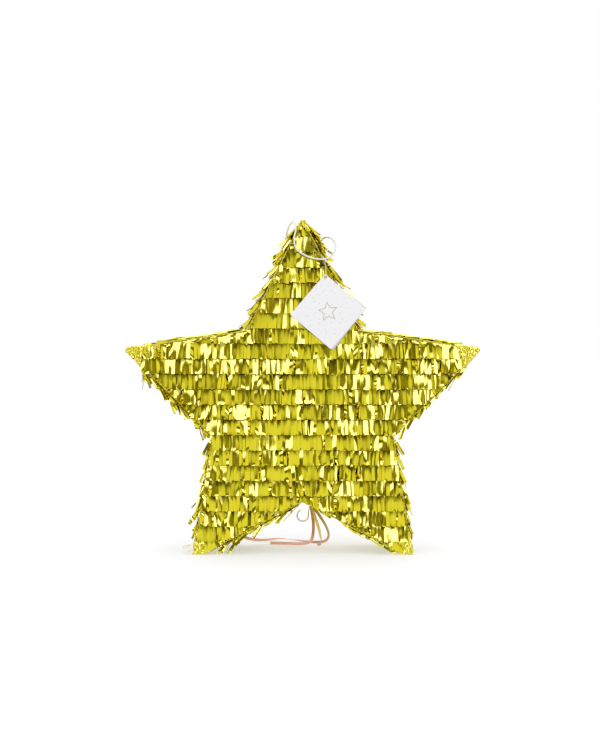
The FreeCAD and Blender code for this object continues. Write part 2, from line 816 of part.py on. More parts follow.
thread = node(doc.addObject("Part::Feature", "tag_thread"), "tag_thread")
thread.Shape = thread_loop()

# ---------------------------------------------------------------- check and write

doc.recompute()
for item in doc.Objects:
    wrong = [state for state in item.State if state in ("Invalid", "Error")]
    if wrong:
        raise RuntimeError(f"{item.Label}: {wrong}")
os.makedirs("parts", exist_ok=True)
for item in nodes:
    shape = item.Shape
    if shape.isNull() or not shape.isValid() or not shape.Solids:
        raise RuntimeError(f"{item.Label} has no valid solid")
    shape.exportStep(f"parts/{item.Label}.step")
    size = shape.BoundBox
    print(
        f"{item.Label:26s} {len(shape.Solids):3d} solids  {shape.Volume:10.1f} mm3 "
        f" x {size.XMin:7.1f} {size.XMax:7.1f}  y {size.YMin:6.1f} {size.YMax:6.1f} "
        f" z {size.ZMin:6.1f} {size.ZMax:6.1f}"
    )
print(len(nodes), "nodes")
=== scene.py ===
import math
import random
from typing import NamedTuple

import bmesh
import bpy
import numpy as np
from mathutils import Matrix, Vector, noise


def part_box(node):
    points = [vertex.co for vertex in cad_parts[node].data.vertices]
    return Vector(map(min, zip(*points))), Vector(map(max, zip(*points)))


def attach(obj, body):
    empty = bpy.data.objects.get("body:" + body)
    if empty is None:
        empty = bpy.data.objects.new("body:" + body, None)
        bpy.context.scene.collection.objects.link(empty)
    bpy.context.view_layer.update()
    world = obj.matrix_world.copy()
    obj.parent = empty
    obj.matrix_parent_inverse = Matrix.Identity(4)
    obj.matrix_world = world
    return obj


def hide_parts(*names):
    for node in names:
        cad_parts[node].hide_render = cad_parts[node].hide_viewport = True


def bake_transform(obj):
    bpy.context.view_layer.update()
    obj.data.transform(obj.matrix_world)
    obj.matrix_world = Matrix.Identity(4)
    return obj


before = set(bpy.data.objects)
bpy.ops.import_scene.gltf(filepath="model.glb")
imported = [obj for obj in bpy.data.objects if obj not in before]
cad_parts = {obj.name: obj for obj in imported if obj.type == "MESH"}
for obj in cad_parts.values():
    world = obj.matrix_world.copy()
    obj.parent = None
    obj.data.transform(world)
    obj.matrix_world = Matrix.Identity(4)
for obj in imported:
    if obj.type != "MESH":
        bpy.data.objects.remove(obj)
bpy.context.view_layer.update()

# ---- sizes, in metres

MM = 0.001
PANEL_LOW, PANEL_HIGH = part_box("front_panel")
TOP_WALL_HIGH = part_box("wall_top_arm")[1]
FRONT_Y = PANEL_LOW.y
BACK_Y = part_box("back_panel")[1].y

HALF_STEP = math.radians(36)
POINT_CUT = 3 * MM          # how far the panels' top point is cut short
SOLE_CUT = 5 * MM           # how far the feet are cut above their sharp points
RADIUS = (PANEL_HIGH.z + POINT_CUT + SOLE_CUT) / (1 + math.cos(HALF_STEP))
INNER = TOP_WALL_HIGH.x / math.sin(HALF_STEP)
CENTRE_Z = RADIUS * math.cos(HALF_STEP) - SOLE_CUT
HALF_POINT = math.atan2(INNER * math.sin(HALF_STEP), RADIUS - INNER * math.cos(HALF_STEP))
WALL_LENGTH = INNER * math.sin(HALF_STEP) / math.sin(HALF_POINT)
EDGE_DISTANCE = RADIUS * math.sin(HALF_POINT)
WALL_HALF_DEPTH = 39.4 * MM     # the walls' strips cover the panels' edges too

ROW_PITCH = 19.5 * MM
STRIP_LENGTH = 25 * MM
STRIP_PITCH = 4.3 * MM
ROW_COUNT = 22
BARE_TIP = 24 * MM          # length of the unfringed foil at the side arms' points and the feet
FLOOR_GAP = 0.5 * MM

# ---- camera

CAMERA_X = -3.6 * MM
CAMERA_Z = 230.2 * MM
CAMERA_DISTANCE = 1.35
FRONT_FACE_Y = -44 * MM
VIEW_WIDTH = 767.6 * MM     # what the frame spans at the front face
SENSOR = 36.0


def linked(name, data):
    """A new object, linked to the scene."""
    made = bpy.data.objects.new(name, data)
    bpy.context.scene.collection.objects.link(made)
    return made


def make_camera():
    data = bpy.data.cameras.new("camera")
    data.sensor_fit = "HORIZONTAL"
    data.sensor_width = SENSOR
    data.lens = SENSOR * CAMERA_DISTANCE / VIEW_WIDTH
    data.clip_start = 0.05
    data.clip_end = 60
    camera = linked("camera", data)
    camera.location = (CAMERA_X, FRONT_FACE_Y - CAMERA_DISTANCE, CAMERA_Z)
    camera.rotation_euler = (math.radians(90), 0, 0)
    bpy.context.scene.camera = camera


make_camera()

# ---- node helpers


class Nodes:
    """Adds nodes to a tree: inputs are given by name, as a value or as another node's socket."""

    def __init__(self, tree):
        self.tree = tree
        tree.nodes.clear()

    def add(self, kind, inputs=(), **settings):
        node = self.tree.nodes.new(kind)
        for name, value in settings.items():
            setattr(node, name, value)
        for name, value in dict(inputs).items():
            if isinstance(value, bpy.types.NodeSocket):
                self.tree.links.new(value, node.inputs[name])
            else:
                node.inputs[name].default_value = value
        return node

    def ramp(self, factor, stops):
        """A colour ramp; stops are (position, grey or colour)."""
        node = self.add("ShaderNodeValToRGB", {"Fac": factor})
        ramp = node.color_ramp
        while len(ramp.elements) < len(stops):
            ramp.elements.new(0.5)
        for element, (position, colour) in zip(ramp.elements, stops):
            element.position = position
            if isinstance(colour, (int, float)):
                colour = (colour, colour, colour)
            element.color = (*colour, 1.0)
        return node.outputs["Color"]

    def math(self, operation, a, b=0.0):
        node = self.add("ShaderNodeMath", {0: a, 1: b}, operation=operation)
        return node.outputs[0]

    def scaled(self, vector, scale):
        mapping = self.add("ShaderNodeMapping", {"Vector": vector, "Scale": scale})
        return mapping.outputs["Vector"]

    def noise(self, vector, scale, detail=2.0, roughness=0.5, distortion=0.0):
        values = {
            "Vector": vector,
            "Scale": scale,
            "Detail": detail,
            "Roughness": roughness,
            "Distortion": distortion,
        }
        return self.add("ShaderNodeTexNoise", values).outputs["Fac"]

    def mix(self, factor, a, b):
        node = self.add("ShaderNodeMix", data_type="RGBA")
        for index, value in ((0, factor), (6, a), (7, b)):
            if isinstance(value, bpy.types.NodeSocket):
                self.tree.links.new(value, node.inputs[index])
            elif index == 0:
                node.inputs[index].default_value = value
            else:
                node.inputs[index].default_value = (*value, 1.0)
        return node.outputs[2]

    def bump(self, height, strength, distance):
        values = {"Height": height, "Strength": strength, "Distance": distance}
        return self.add("ShaderNodeBump", values).outputs["Normal"]


def new_material(name):
    """A material, its nodes, and the socket that says where a point is on the object."""
    material = bpy.data.materials.new(name)
    material.use_nodes = True
    nodes = Nodes(material.node_tree)
    return material, nodes, nodes.add("ShaderNodeTexCoord").outputs["Object"]


def finish_material(material, nodes, inputs):
    shader = nodes.add("ShaderNodeBsdfPrincipled", inputs)
    nodes.add("ShaderNodeOutputMaterial", {"Surface": shader.outputs["BSDF"]})
    return material


# ---- materials


# painted shade: the colour the foil is darkened to where one row hangs over the next
PAINTED_SHADE_GOLD = (0.17, 0.15, 0.003)   # where one row hangs over the next


def foil_material(name, colour, warm, roughness=0.05, crinkle=0.035):
    """Thin metal foil: a clear lacquer over the metal, fine crinkles, a tone for each strip, and shade
    painted into its colour where the depth attribute is high.
    """
    material, nodes, place = new_material(name)
    tone = nodes.add("ShaderNodeAttribute", attribute_name="tone").outputs["Fac"]
    cloud = nodes.noise(place, 24, 2.0)
    blend = nodes.math("ADD", nodes.math("MULTIPLY", tone, 0.75), nodes.math("MULTIPLY", cloud, 0.25))
    # painted shade: the depth attribute darkens the colour towards the shaded gold where rows overlap
    depth = nodes.add("ShaderNodeAttribute", attribute_name="depth").outputs["Fac"]
    tint = nodes.mix(depth, nodes.mix(blend, colour, warm), PAINTED_SHADE_GOLD)
    smudge = nodes.noise(place, 160, 2.0, 0.6)
    rough = nodes.ramp(smudge, ((0.3, roughness), (0.75, roughness + 0.05)))
    creases = nodes.noise(nodes.scaled(place, (1.0, 1.0, 0.45)), 260, 3.0, 0.55, 0.6)
    return finish_material(material, nodes, {
        "Base Color": tint,
        "Metallic": 1.0,
        "Roughness": rough,
        "Specular Tint": (1.0, 0.78, 0.2, 1.0),
        "Coat Weight": 0.12,
        "Coat Roughness": 0.06,
        "Normal": nodes.bump(creases, crinkle, 0.4 * MM),
    })


def cardboard_material():
    """Brown corrugated card: paper fibres and the faint lines of the flutes."""
    material, nodes, place = new_material("corrugated_card")
    fibres = nodes.noise(nodes.scaled(place, (1.0, 1.0, 4.0)), 420, 4.0, 0.7)
    blotches = nodes.noise(place, 30, 2.0)
    colour = nodes.mix(
        nodes.ramp(blotches, ((0.35, 0.0), (0.7, 1.0))), (0.40, 0.255, 0.13), (0.50, 0.335, 0.185)
    )
    specks = nodes.ramp(fibres, ((0.35, 0.72), (0.6, 1.0)))
    shade = nodes.add("ShaderNodeMix", data_type="RGBA", blend_type="MULTIPLY")
    shade.inputs[0].default_value = 1.0
    nodes.tree.links.new(colour, shade.inputs[6])
    nodes.tree.links.new(specks, shade.inputs[7])
    flutes = nodes.add("ShaderNodeTexWave", {"Vector": place, "Scale": 65.0, "Distortion": 0.4})
    height = nodes.math("ADD", flutes.outputs["Fac"], nodes.math("MULTIPLY", fibres, 0.6))
    return finish_material(material, nodes, {
        "Base Color": shade.outputs[2],
        "Roughness": nodes.ramp(fibres, ((0.3, 0.72), (0.7, 0.9))),
        "Normal": nodes.bump(height, 0.35, 0.15 * MM),
    })


def paper_material(name, light, dark, scale):
    """Paper or card stock with cloudy pulp and short fibres."""
    material, nodes, place = new_material(name)
    pulp = nodes.noise(place, scale, 5.0, 0.7)
    cloud = nodes.noise(place, scale / 12, 2.0)
    mixed = nodes.math("ADD", nodes.math("MULTIPLY", pulp, 0.6), nodes.math("MULTIPLY", cloud, 0.4))
    return finish_material(material, nodes, {
        "Base Color": nodes.mix(nodes.ramp(mixed, ((0.35, 0.0), (0.65, 1.0))), dark, light),
        "Roughness": nodes.ramp(pulp, ((0.3, 0.5), (0.7, 0.75))),
        "Specular IOR Level": 0.15,
        "Normal": nodes.bump(pulp, 0.25, 0.08 * MM),
    })


def speckled_card_material():
    """White card printed with a scatter of tiny grey and gold dots."""
    material, nodes, place = new_material("speckled_card")
    pulp = nodes.noise(place, 700, 5.0, 0.65)
    clean = nodes.ramp(pulp, ((0.35, 0.0), (0.65, 1.0)))
    card = nodes.mix(clean, (0.80, 0.80, 0.80), (0.86, 0.86, 0.855))
    parts = nodes.add("ShaderNodeSeparateXYZ", {"Vector": place})
    flat = nodes.add("ShaderNodeCombineXYZ", {"X": parts.outputs["X"], "Y": parts.outputs["Z"]})
    values = {"Vector": flat.outputs["Vector"], "Scale": 150.0, "Randomness": 1.0}
    dots = nodes.add("ShaderNodeTexVoronoi", values, voronoi_dimensions="2D")
    near = nodes.ramp(dots.outputs["Distance"], ((0.055, 1.0), (0.075, 0.0)))
    split = nodes.add("ShaderNodeSeparateColor", {"Color": dots.outputs["Color"]})
    chosen = nodes.math("LESS_THAN", split.outputs["Red"], 0.62)
    gold = nodes.math("LESS_THAN", split.outputs["Green"], 0.4)
    ink = nodes.mix(gold, (0.36, 0.36, 0.38), (0.56, 0.44, 0.22))
    return finish_material(material, nodes, {
        "Base Color": nodes.mix(nodes.math("MULTIPLY", near, chosen), card, ink),
        "Roughness": nodes.ramp(pulp, ((0.3, 0.42), (0.7, 0.6))),
        "Specular IOR Level": 0.15,
        "Normal": nodes.bump(pulp, 0.15, 0.05 * MM),
    })


def cotton_material(name, light, dark, pitch=900.0):
    """Spun cotton: fine slanting fibres and a soft sheen."""
    material, nodes, place = new_material(name)
    fibres = nodes.noise(nodes.scaled(place, (1.0, 1.0, 0.5)), pitch, 4.0, 0.7)
    return finish_material(material, nodes, {
        "Base Color": nodes.mix(nodes.ramp(fibres, ((0.3, 0.0), (0.6, 1.0))), dark, light),
        "Roughness": nodes.ramp(fibres, ((0.3, 0.65), (0.7, 0.85))),
        "Sheen Weight": 0.35,
        "Sheen Roughness": 0.4,
        "Specular IOR Level": 0.15,
        "Normal": nodes.bump(fibres, 0.5, 0.12 * MM),
    })


def ribbon_material(name, colour, shadow, low, metallic=0.1):
    """Glossy curling ribbon with the fine lengthwise grain of drawn film. Low down, near the
    floor, its colour turns to a paler one."""
    material, nodes, place = new_material(name)
    grain = nodes.noise(nodes.scaled(place, (6.0, 6.0, 0.6)), 240, 3.0, 0.6)
    face = nodes.mix(nodes.ramp(grain, ((0.3, 0.0), (0.7, 1.0))), shadow, colour)
    height = nodes.add("ShaderNodeSeparateXYZ", {"Vector": place}).outputs["Z"]
    paler_low = nodes.ramp(nodes.math("MULTIPLY", height, 40.0), ((0.35, 1.0), (0.75, 0.0)))
    return finish_material(material, nodes, {
        "Base Color": nodes.mix(paler_low, face, low),
        "Metallic": metallic,
        "Roughness": nodes.ramp(grain, ((0.3, 0.35), (0.7, 0.5))),
        "Specular IOR Level": 0.2,
        "Coat Weight": 0.05,
        "Coat Roughness": 0.15,
        "Normal": nodes.bump(grain, 0.3, 0.06 * MM),
    })


GOLD = foil_material("gold_foil", (0.75, 0.685, 0.042), (0.77, 0.67, 0.04))
SIDE_GOLD = foil_material("side_gold_foil", (0.73, 0.70, 0.046), (0.75, 0.685, 0.042))
BARE_GOLD = foil_material("bare_gold_foil", (0.74, 0.67, 0.04), (0.75, 0.64, 0.04), 0.08, 0.5)
ROLLED_GOLD = foil_material("rolled_gold_foil", (0.60, 0.53, 0.025), (0.48, 0.40, 0.018), 0.14, 0.3)
CARD = cardboard_material()
TAPE = paper_material("paper_tape", (0.80, 0.72, 0.55), (0.68, 0.58, 0.42), 300)
TAG_CARD = speckled_card_material()
# painted shade: this back leaf's card is a darker grey than the front leaf's, so that its edge shows as a
# line beside it
TAG_BACK = paper_material("white_card", (0.66, 0.66, 0.65), (0.58, 0.58, 0.57), 600)
PEACH = (0.90, 0.52, 0.30)
PRINT_GOLD = ribbon_material("printed_gold", (0.56, 0.38, 0.14), (0.44, 0.28, 0.09), PEACH, 0.6)
COTTON = cotton_material("white_cotton", (0.84, 0.82, 0.75), (0.74, 0.71, 0.63))
THREAD = cotton_material("white_thread", (0.86, 0.85, 0.80), (0.62, 0.60, 0.55), 1500.0)
COPPER = ribbon_material("copper_ribbon", (0.60, 0.28, 0.08), (0.48, 0.20, 0.05), PEACH)
OLIVE = ribbon_material("gold_ribbon", (0.58, 0.44, 0.06), (0.42, 0.30, 0.03), PEACH)
YELLOW = ribbon_material("yellow_ribbon", (0.82, 0.66, 0.12), (0.68, 0.50, 0.07), PEACH)
PALE = ribbon_material("pale_ribbon", (0.90, 0.74, 0.32), (0.78, 0.60, 0.22), PEACH)

# ---- meshes


def unit(vector):
    return vector / np.linalg.norm(vector)


def put(name, mesh, body, material, nodes=()):
    """Links a mesh as a piece on a body."""
    piece = linked(name, mesh)
    mesh.materials.append(material)
    if body:
        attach(piece, body)
    if nodes:
        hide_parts(*nodes)
    return piece


def put_foil(name, sheets, body, material, *nodes):
    """Gathers sheets of foil into one piece on a body."""
    return put(name, sheets.mesh(name), body, material, nodes)


class Sheets:
    """Many small surfaces gathered into one mesh, each with a tone of its own."""

    def __init__(self):
        self.points = []
        self.faces = []
        self.tones = []
        self.painted_shades = []
        self.count = 0
        self.ring = 0       # how many points each row of the last surface has

    def add(self, grid, tone=0.0, closed=False, depth=None):
        """A surface through a grid of points; closed joins its last column to its first.
        depth is the shade painted into each point's colour, from 0 to 1."""
        rows, columns = grid.shape[:2]
        self.ring = columns
        index = np.arange(rows * columns).reshape(rows, columns) + self.count
        if closed:
            index = np.concatenate([index, index[:, :1]], axis=1)
        corners = [index[:-1, :-1], index[1:, :-1], index[1:, 1:], index[:-1, 1:]]
        self.points.append(grid.reshape(-1, 3))
        self.faces.extend(np.stack(corners, axis=-1).reshape(-1, 4).tolist())
        self.tones.append(np.full(rows * columns, tone))
        self.painted_shades.append(np.zeros(rows * columns) if depth is None else depth.ravel())
        self.count += rows * columns

    def cap(self, row):
        """Closes the end of the surface added last: row is 0 or -1, and its rows are closed rings."""
        start = self.count - len(self.points[-1])
        first = start if row == 0 else self.count - self.ring
        face = list(range(first, first + self.ring))
        self.faces.append(face if row else face[::-1])

    def mesh(self, name):
        mesh = bpy.data.meshes.new(name)
        mesh.from_pydata(np.concatenate(self.points).tolist(), [], self.faces)
        # the depth attribute holds painted shade for the foil's colour
        for label, values in (("tone", self.tones), ("depth", self.painted_shades)):
            attribute = mesh.attributes.new(label, "FLOAT", "POINT")
            attribute.data.foreach_set("value", np.concatenate(values).astype(np.float32))
        mesh.shade_smooth()
        mesh.update()
        return mesh


# ---- cords


def smooth_line(route, resolution):
    """The points of the smooth NURBS line that a route's points control."""
    curve = bpy.data.curves.new("route", "CURVE")
    curve.dimensions = "3D"
    spline = curve.splines.new("NURBS")
    spline.points.add(len(route) - 1)
    for control, point in zip(spline.points, route):
        control.co = (*point, 1.0)
    spline.order_u = 3
    spline.use_endpoint_u = True
    spline.resolution_u = resolution
    curve.resolution_u = resolution
    holder = linked("route", curve)
    bpy.context.view_layer.update()
    mesh = bpy.data.meshes.new_from_object(holder)
    line = np.array([vertex.co for vertex in mesh.vertices])
    bpy.data.objects.remove(holder)
    bpy.data.curves.remove(curve)
    bpy.data.meshes.remove(mesh)
    return line


def travel(line):
    """How far along the line each point is."""
    steps = np.linalg.norm(np.diff(line, axis=0), axis=1)
    return np.concatenate([[0.0], np.cumsum(steps)])


def carried_frames(line, start_side):
    """For each point, the line's direction and two directions across it that don't spin."""
    ahead = np.gradient(line, axis=0)
    ahead /= np.linalg.norm(ahead, axis=1)[:, None]
    side = np.array(start_side, float)
    sides = []
    for direction in ahead:
        side = unit(side - direction * np.dot(side, direction))
        sides.append(side)
    sides = np.array(sides)
    return ahead, sides, np.cross(ahead, sides)


PLY_GROOVE = 0.06           # half the depth between two plies, as a share of the radius


def ply_cord(name, line, radius, plies, lay_length, around=18):
    """A closed cord whose round section has a lobe for each ply, turning along its length."""
    ahead, sides, ups = carried_frames(line, (0.3, 0.2, 1.0))
    distance = travel(line)
    angle = np.linspace(0, 2 * math.pi, around, endpoint=False)
    turn = distance * 2 * math.pi / lay_length
    lobes = 1 - PLY_GROOVE * (1 - np.cos(plies * (angle[None, :] - turn[:, None])))
    spread = radius * lobes[:, :, None]
    grid = (
        line[:, None, :]
        + spread * np.cos(angle)[None, :, None] * sides[:, None, :]
        + spread * np.sin(angle)[None, :, None] * ups[:, None, :]
    )
    sheets = Sheets()
    sheets.add(grid, closed=True)
    sheets.cap(0)
    sheets.cap(-1)
    return sheets.mesh(name)


RIBBON_HALF_THICKNESS = 0.09 * MM


def flat_ribbon(name, line, width, turns, start_side, cup):
    """A thin ribbon on the line, turned about it by some turns from end to end."""
    ahead, sides, ups = carried_frames(line, start_side)
    share = travel(line) / travel(line)[-1]
    angle = 2 * math.pi * turns * share
    across = np.cos(angle)[:, None] * sides + np.sin(angle)[:, None] * ups
    face = np.cross(across, ahead)
    columns = []
    for side in (1, -1):
        for place in (-0.5, -0.25, 0.0, 0.25, 0.5):
            rise = cup * (1 - (2 * place) ** 2) + side * RIBBON_HALF_THICKNESS
            columns.append(line + across * width * place * side + face * rise)
    sheets = Sheets()
    sheets.add(np.stack(columns, axis=1), closed=True)
    sheets.cap(0)
    sheets.cap(-1)
    return sheets.mesh(name)


HANG_CORD = [
    (-0.0076, 0.012, 0.3979), (-0.0202, 0.012, 0.4042), (-0.022, 0.0, 0.416),
    (-0.0175, -0.015, 0.427), (-0.011, -0.034, 0.429), (-0.008, -0.0465, 0.418),
    (-0.012, -0.047, 0.403), (-0.0085, -0.047, 0.390), (0.004, -0.047, 0.382),
    (0.016, -0.047, 0.3783), (0.029, -0.0465, 0.378), (0.040, -0.045, 0.384),
    (0.043, -0.041, 0.396), (0.038, -0.032, 0.407), (0.028, -0.016, 0.411),
    (0.0237, 0.012, 0.406), (0.0076, 0.012, 0.3979),
]
HANG_CORD_DIAMETER = 0.0022
HANG_CORD_PLIES = 3
HANG_CORD_LAY = 7 * MM      # how far along the cord a ply goes in one turn

RIBBON_COPPER = [
    (0.0104, -0.003, 0.0605), (0.0135, -0.001, 0.042), (0.0145, 0.004, 0.024),
    (0.012, 0.012, 0.008), (0.0, 0.022, 0.0035), (-0.020, 0.030, 0.003), (-0.044, 0.034, 0.003),
]
RIBBON_GOLD = [
    (0.0104, 0.003, 0.0605), (0.021, 0.004, 0.046), (0.031, 0.010, 0.030),
    (0.036, 0.018, 0.015), (0.030, 0.028, 0.005), (0.012, 0.034, 0.004),
    (-0.010, 0.041, 0.006), (-0.032, 0.043, 0.008), (-0.054, 0.042, 0.005),
    (-0.070, 0.038, 0.007), (-0.084, 0.033, 0.012),
]
RIBBON_YELLOW = [
    (0.0104, -0.009, 0.0605), (0.016, -0.010, 0.044), (0.0215, -0.008, 0.028),
    (0.024, -0.001, 0.014), (0.025, 0.010, 0.004), (0.020, 0.024, 0.003),
]
RIBBON_CURL = [
    (0.0102, 0.009, 0.061), (0.0085, 0.0093, 0.053), (0.0075, 0.0098, 0.0461),
    (0.0075, 0.0105, 0.0399), (0.0031, 0.0112, 0.0355), (-0.0031, 0.0119, 0.0355),
    (-0.0075, 0.0126, 0.0399), (-0.0075, 0.0133, 0.0461), (-0.0031, 0.014, 0.0505),
]


def make_hang_cord():
    line = smooth_line(HANG_CORD, 26)
    mesh = ply_cord("white_hang_cord", line, HANG_CORD_DIAMETER / 2, HANG_CORD_PLIES, HANG_CORD_LAY)
    piece = put("white_hang_cord", mesh, "star", COTTON, ["hang_cord"])
    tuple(HANG_CORD[0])


def make_ribbon(name, node, route, width, turns, material, side, cup):
    line = smooth_line(route, 14)
    mesh = flat_ribbon(name, line, width, turns, side, cup)
    piece = put(name, mesh, None, material, [node])
    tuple(route[0])
    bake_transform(piece)
    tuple(route[0])


make_hang_cord()
make_ribbon("copper_pull_ribbon", "ribbon_copper", RIBBON_COPPER, 0.004, 0.14,
            COPPER, (1, -0.1, 0), 0.35 * MM)
make_ribbon("gold_pull_ribbon", "ribbon_gold", RIBBON_GOLD, 0.004, 0.8,
            OLIVE, (1, 0.3, 0), 0.3 * MM)
make_ribbon("yellow_pull_ribbon", "ribbon_yellow", RIBBON_YELLOW, 0.004, 0.6,
            YELLOW, (0.4, 1, 0), 0.3 * MM)
make_ribbon("pale_curl_ribbon", "ribbon_curl", RIBBON_CURL, 0.002, 0.4,
            PALE, (0.1, 1, 0), 0.15 * MM)

# ---- knots and thread

KNOT_CORD_RADIUS = 0.9 * MM     # the cord is squeezed in its knot
THREAD_RADIUS = 0.25 * MM


def trefoil(centre, size, tilt):
    """The line of an overhand knot pulled tight, as a small trefoil."""
    turn = Matrix.Rotation(tilt, 3, "X")
    points = []
    for step in range(96):
        t = 2 * math.pi * step / 96
        place = Vector((
            math.sin(t) + 2 * math.sin(2 * t),
            math.cos(t) - 2 * math.cos(2 * t),
            -1.1 * math.sin(3 * t),
        ))
        points.append(np.array(centre) + np.array(turn @ place) * size)
    return np.array(points + points[:1])


def make_cord_knots():
    low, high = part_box("cord_knots")
    middle_y = (low.y + high.y) / 2
    middle_z = (low.z + high.z) / 2
    radius = (high.z - low.z) / 2
    size = (radius - HANG_CORD_DIAMETER / 2) / 3
    for hand, name in ((-1, "left_cord_knot"), (1, "right_cord_knot")):
        edge = low.x if hand < 0 else high.x
        centre = (edge - hand * radius, middle_y, middle_z)
        line = trefoil(centre, size, 0.6 * hand)
        mesh = ply_cord(name, line, KNOT_CORD_RADIUS, HANG_CORD_PLIES, HANG_CORD_LAY)
        put(name, mesh, "star", COTTON, ["cord_knots"])


def make_ribbon_knot():
    """The four ribbons' ends, wound round each other behind the trap door's slot."""
    low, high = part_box("ribbon_knot")
    middle = np.array((low + high) / 2)
    half = (high.y - low.y) / 2
    line = np.array([middle + np.array((0.0, place, 0.0)) for place in np.linspace(-half, half, 90)])
    mesh = ply_cord("ribbon_stop_knot", line, (high.z - low.z) / 2, 4, 9 * MM, 24)
    put("ribbon_stop_knot", mesh, "door", COPPER, ["ribbon_knot"])


TAG_TOP = np.array((28.4, 0.0, 359.4)) * MM
TAG_LEFT = np.array((-16.1, 0.0, 307.3)) * MM
TAG_RIGHT = np.array((80.5, 0.0, 314.9)) * MM
TAG_BOTTOM = np.array((36.0, 0.0, 262.8)) * MM
TAG_HOLE = np.array((28.8, 0.0, 354.9)) * MM
TAG_HOLE_RADIUS = 1.9 * MM
TAG_MIDDLE = (TAG_TOP + TAG_BOTTOM) / 2


def make_tag_thread():
    """A loop of thread from the hanging cord, through the hole in the tag."""
    low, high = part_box("tag_thread")
    near, far = low.y + THREAD_RADIUS, high.y - THREAD_RADIUS
    middle = (near + far) / 2
    top = high.z - THREAD_RADIUS
    bottom = low.z + THREAD_RADIUS
    x_top = TAG_TOP[0]
    x_low = TAG_HOLE[0]
    route = [
        (x_top, middle, top), (x_top, near, top), (x_top, near, top - 5 * MM),
        ((x_top + x_low) / 2, near, (top + bottom) / 2),
        (x_low, near, bottom + 3 * MM), (x_low, near, bottom), (x_low, middle, bottom),
        (x_low, far, bottom), (x_low, far, bottom + 3 * MM),
        ((x_top + x_low) / 2, far, (top + bottom) / 2),
        (x_top, far, top - 5 * MM), (x_top, far, top), (x_top, middle, top),
    ]
    mesh = ply_cord("tag_thread_loop", smooth_line(route, 20), THREAD_RADIUS, 2, 1.6 * MM, 12)
    put("tag_thread_loop", mesh, "thread", THREAD, ["tag_thread"])


make_cord_knots()
make_ribbon_knot()
make_tag_thread()

# ---- the star's outline


def polar(radius, degrees):
    angle = math.radians(degrees)
    return np.array([radius * math.cos(angle), 0.0, CENTRE_Z + radius * math.sin(angle)])


def star_outline(shrink):
    """The star's ten corners, anticlockwise from the top, drawn in by shrink."""
    keep = 1 - shrink / EDGE_DISTANCE
    corners = []
    for arm in range(5):
        corners.append(polar(RADIUS * keep, 90 + 72 * arm))
        corners.append(polar(INNER * keep, 126 + 72 * arm))
    return corners


def spans(x, corners):
    """The heights between which the upright line at x is inside the outline."""
    crossings = []
    for a, b in zip(corners, corners[1:] + corners[:1]):
        if (a[0] - x) * (b[0] - x) < 0:
            share = (x - a[0]) / (b[0] - a[0])
            crossings.append(a[2] + share * (b[2] - a[2]))
    crossings.sort()
    return list(zip(crossings[::2], crossings[1::2]))


BARE_ARMS = (18, 162, 234, 306)     # the arms whose points are bare foil, as angles


def is_bare(x, z):
    """True at the points that carry no fringe."""
    for degrees in BARE_ARMS:
        angle = math.radians(degrees)
        if x * math.cos(angle) + (z - CENTRE_Z) * math.sin(angle) > RADIUS - BARE_TIP:
            return True
    return False


# ---- foil strips

SHARES = np.array([0.0, 0.12, 0.24, 0.34, 0.44, 0.56, 0.68, 0.82, 0.965, 1.0])
ACROSS = np.array([-0.5, 0.0, 0.5])


def strip_grid(root, axes, length, width, look):
    """The points of one strip: along is its run, out is away from the panel, side is across it."""
    along, out, side = axes
    angle = look["flare"] + look["bulge"] * (1 - SHARES) ** 3 + look["bend"] * SHARES**2
    angle += look["wave"] * np.sin(SHARES * look["ripple"])
    angle += look["curl"] * np.clip((SHARES - 0.95) / 0.05, 0, 1)
    middle = (angle[1:] + angle[:-1]) / 2
    step = length * np.diff(SHARES)
    go = np.concatenate([[0], np.cumsum(np.cos(middle) * step)])
    rise = np.concatenate([[0], np.cumsum(np.sin(middle) * step)])
    shift = look["lean"] * SHARES * length
    centre = root + np.outer(go, along) + np.outer(rise, out) + np.outer(shift, side)
    normal = np.outer(np.cos(angle), out) - np.outer(np.sin(angle), along)
    turn = look["yaw"] * np.minimum(1, SHARES / 0.24) + look["twist"] * (SHARES - 0.3)
    across = np.outer(np.cos(turn), side) + np.sin(turn)[:, None] * normal
    face = np.cos(turn)[:, None] * normal - np.outer(np.sin(turn), side)
    grid = centre[:, None, :] + across[:, None, :] * (ACROSS * width)[None, :, None]
    grid[:, 1, :] += face * look["cup"]
    grid[-1, :, :] += np.outer(ACROSS * width * look["cut"], along)
    return grid


class Style(NamedTuple):
    """How the strips of a row hang. Angles are in degrees; wild and calm are shares."""

    flare: float                # away from the panel, on average
    spread: float               # of the flare, from group to group
    bend: float = 1.0           # gained from a strip's root to its end
    bend_spread: float = 2.5
    yaw: float = 7.0            # a group's turn about its own run
    twist: float = 6.5          # gained along the strip
    wild: float = 0.13          # of the strips, that turn and wave by themselves
    wave: float = 3.0
    least: float = 1.5          # smallest flare
    jitter: float = 9.0         # between neighbours' turns
    calm: float = 0.36          # of the groups, that lie nearly in one plane
    bulge: float = 14.0         # extra flare at the root
    curl: float = 16.0          # at the very end


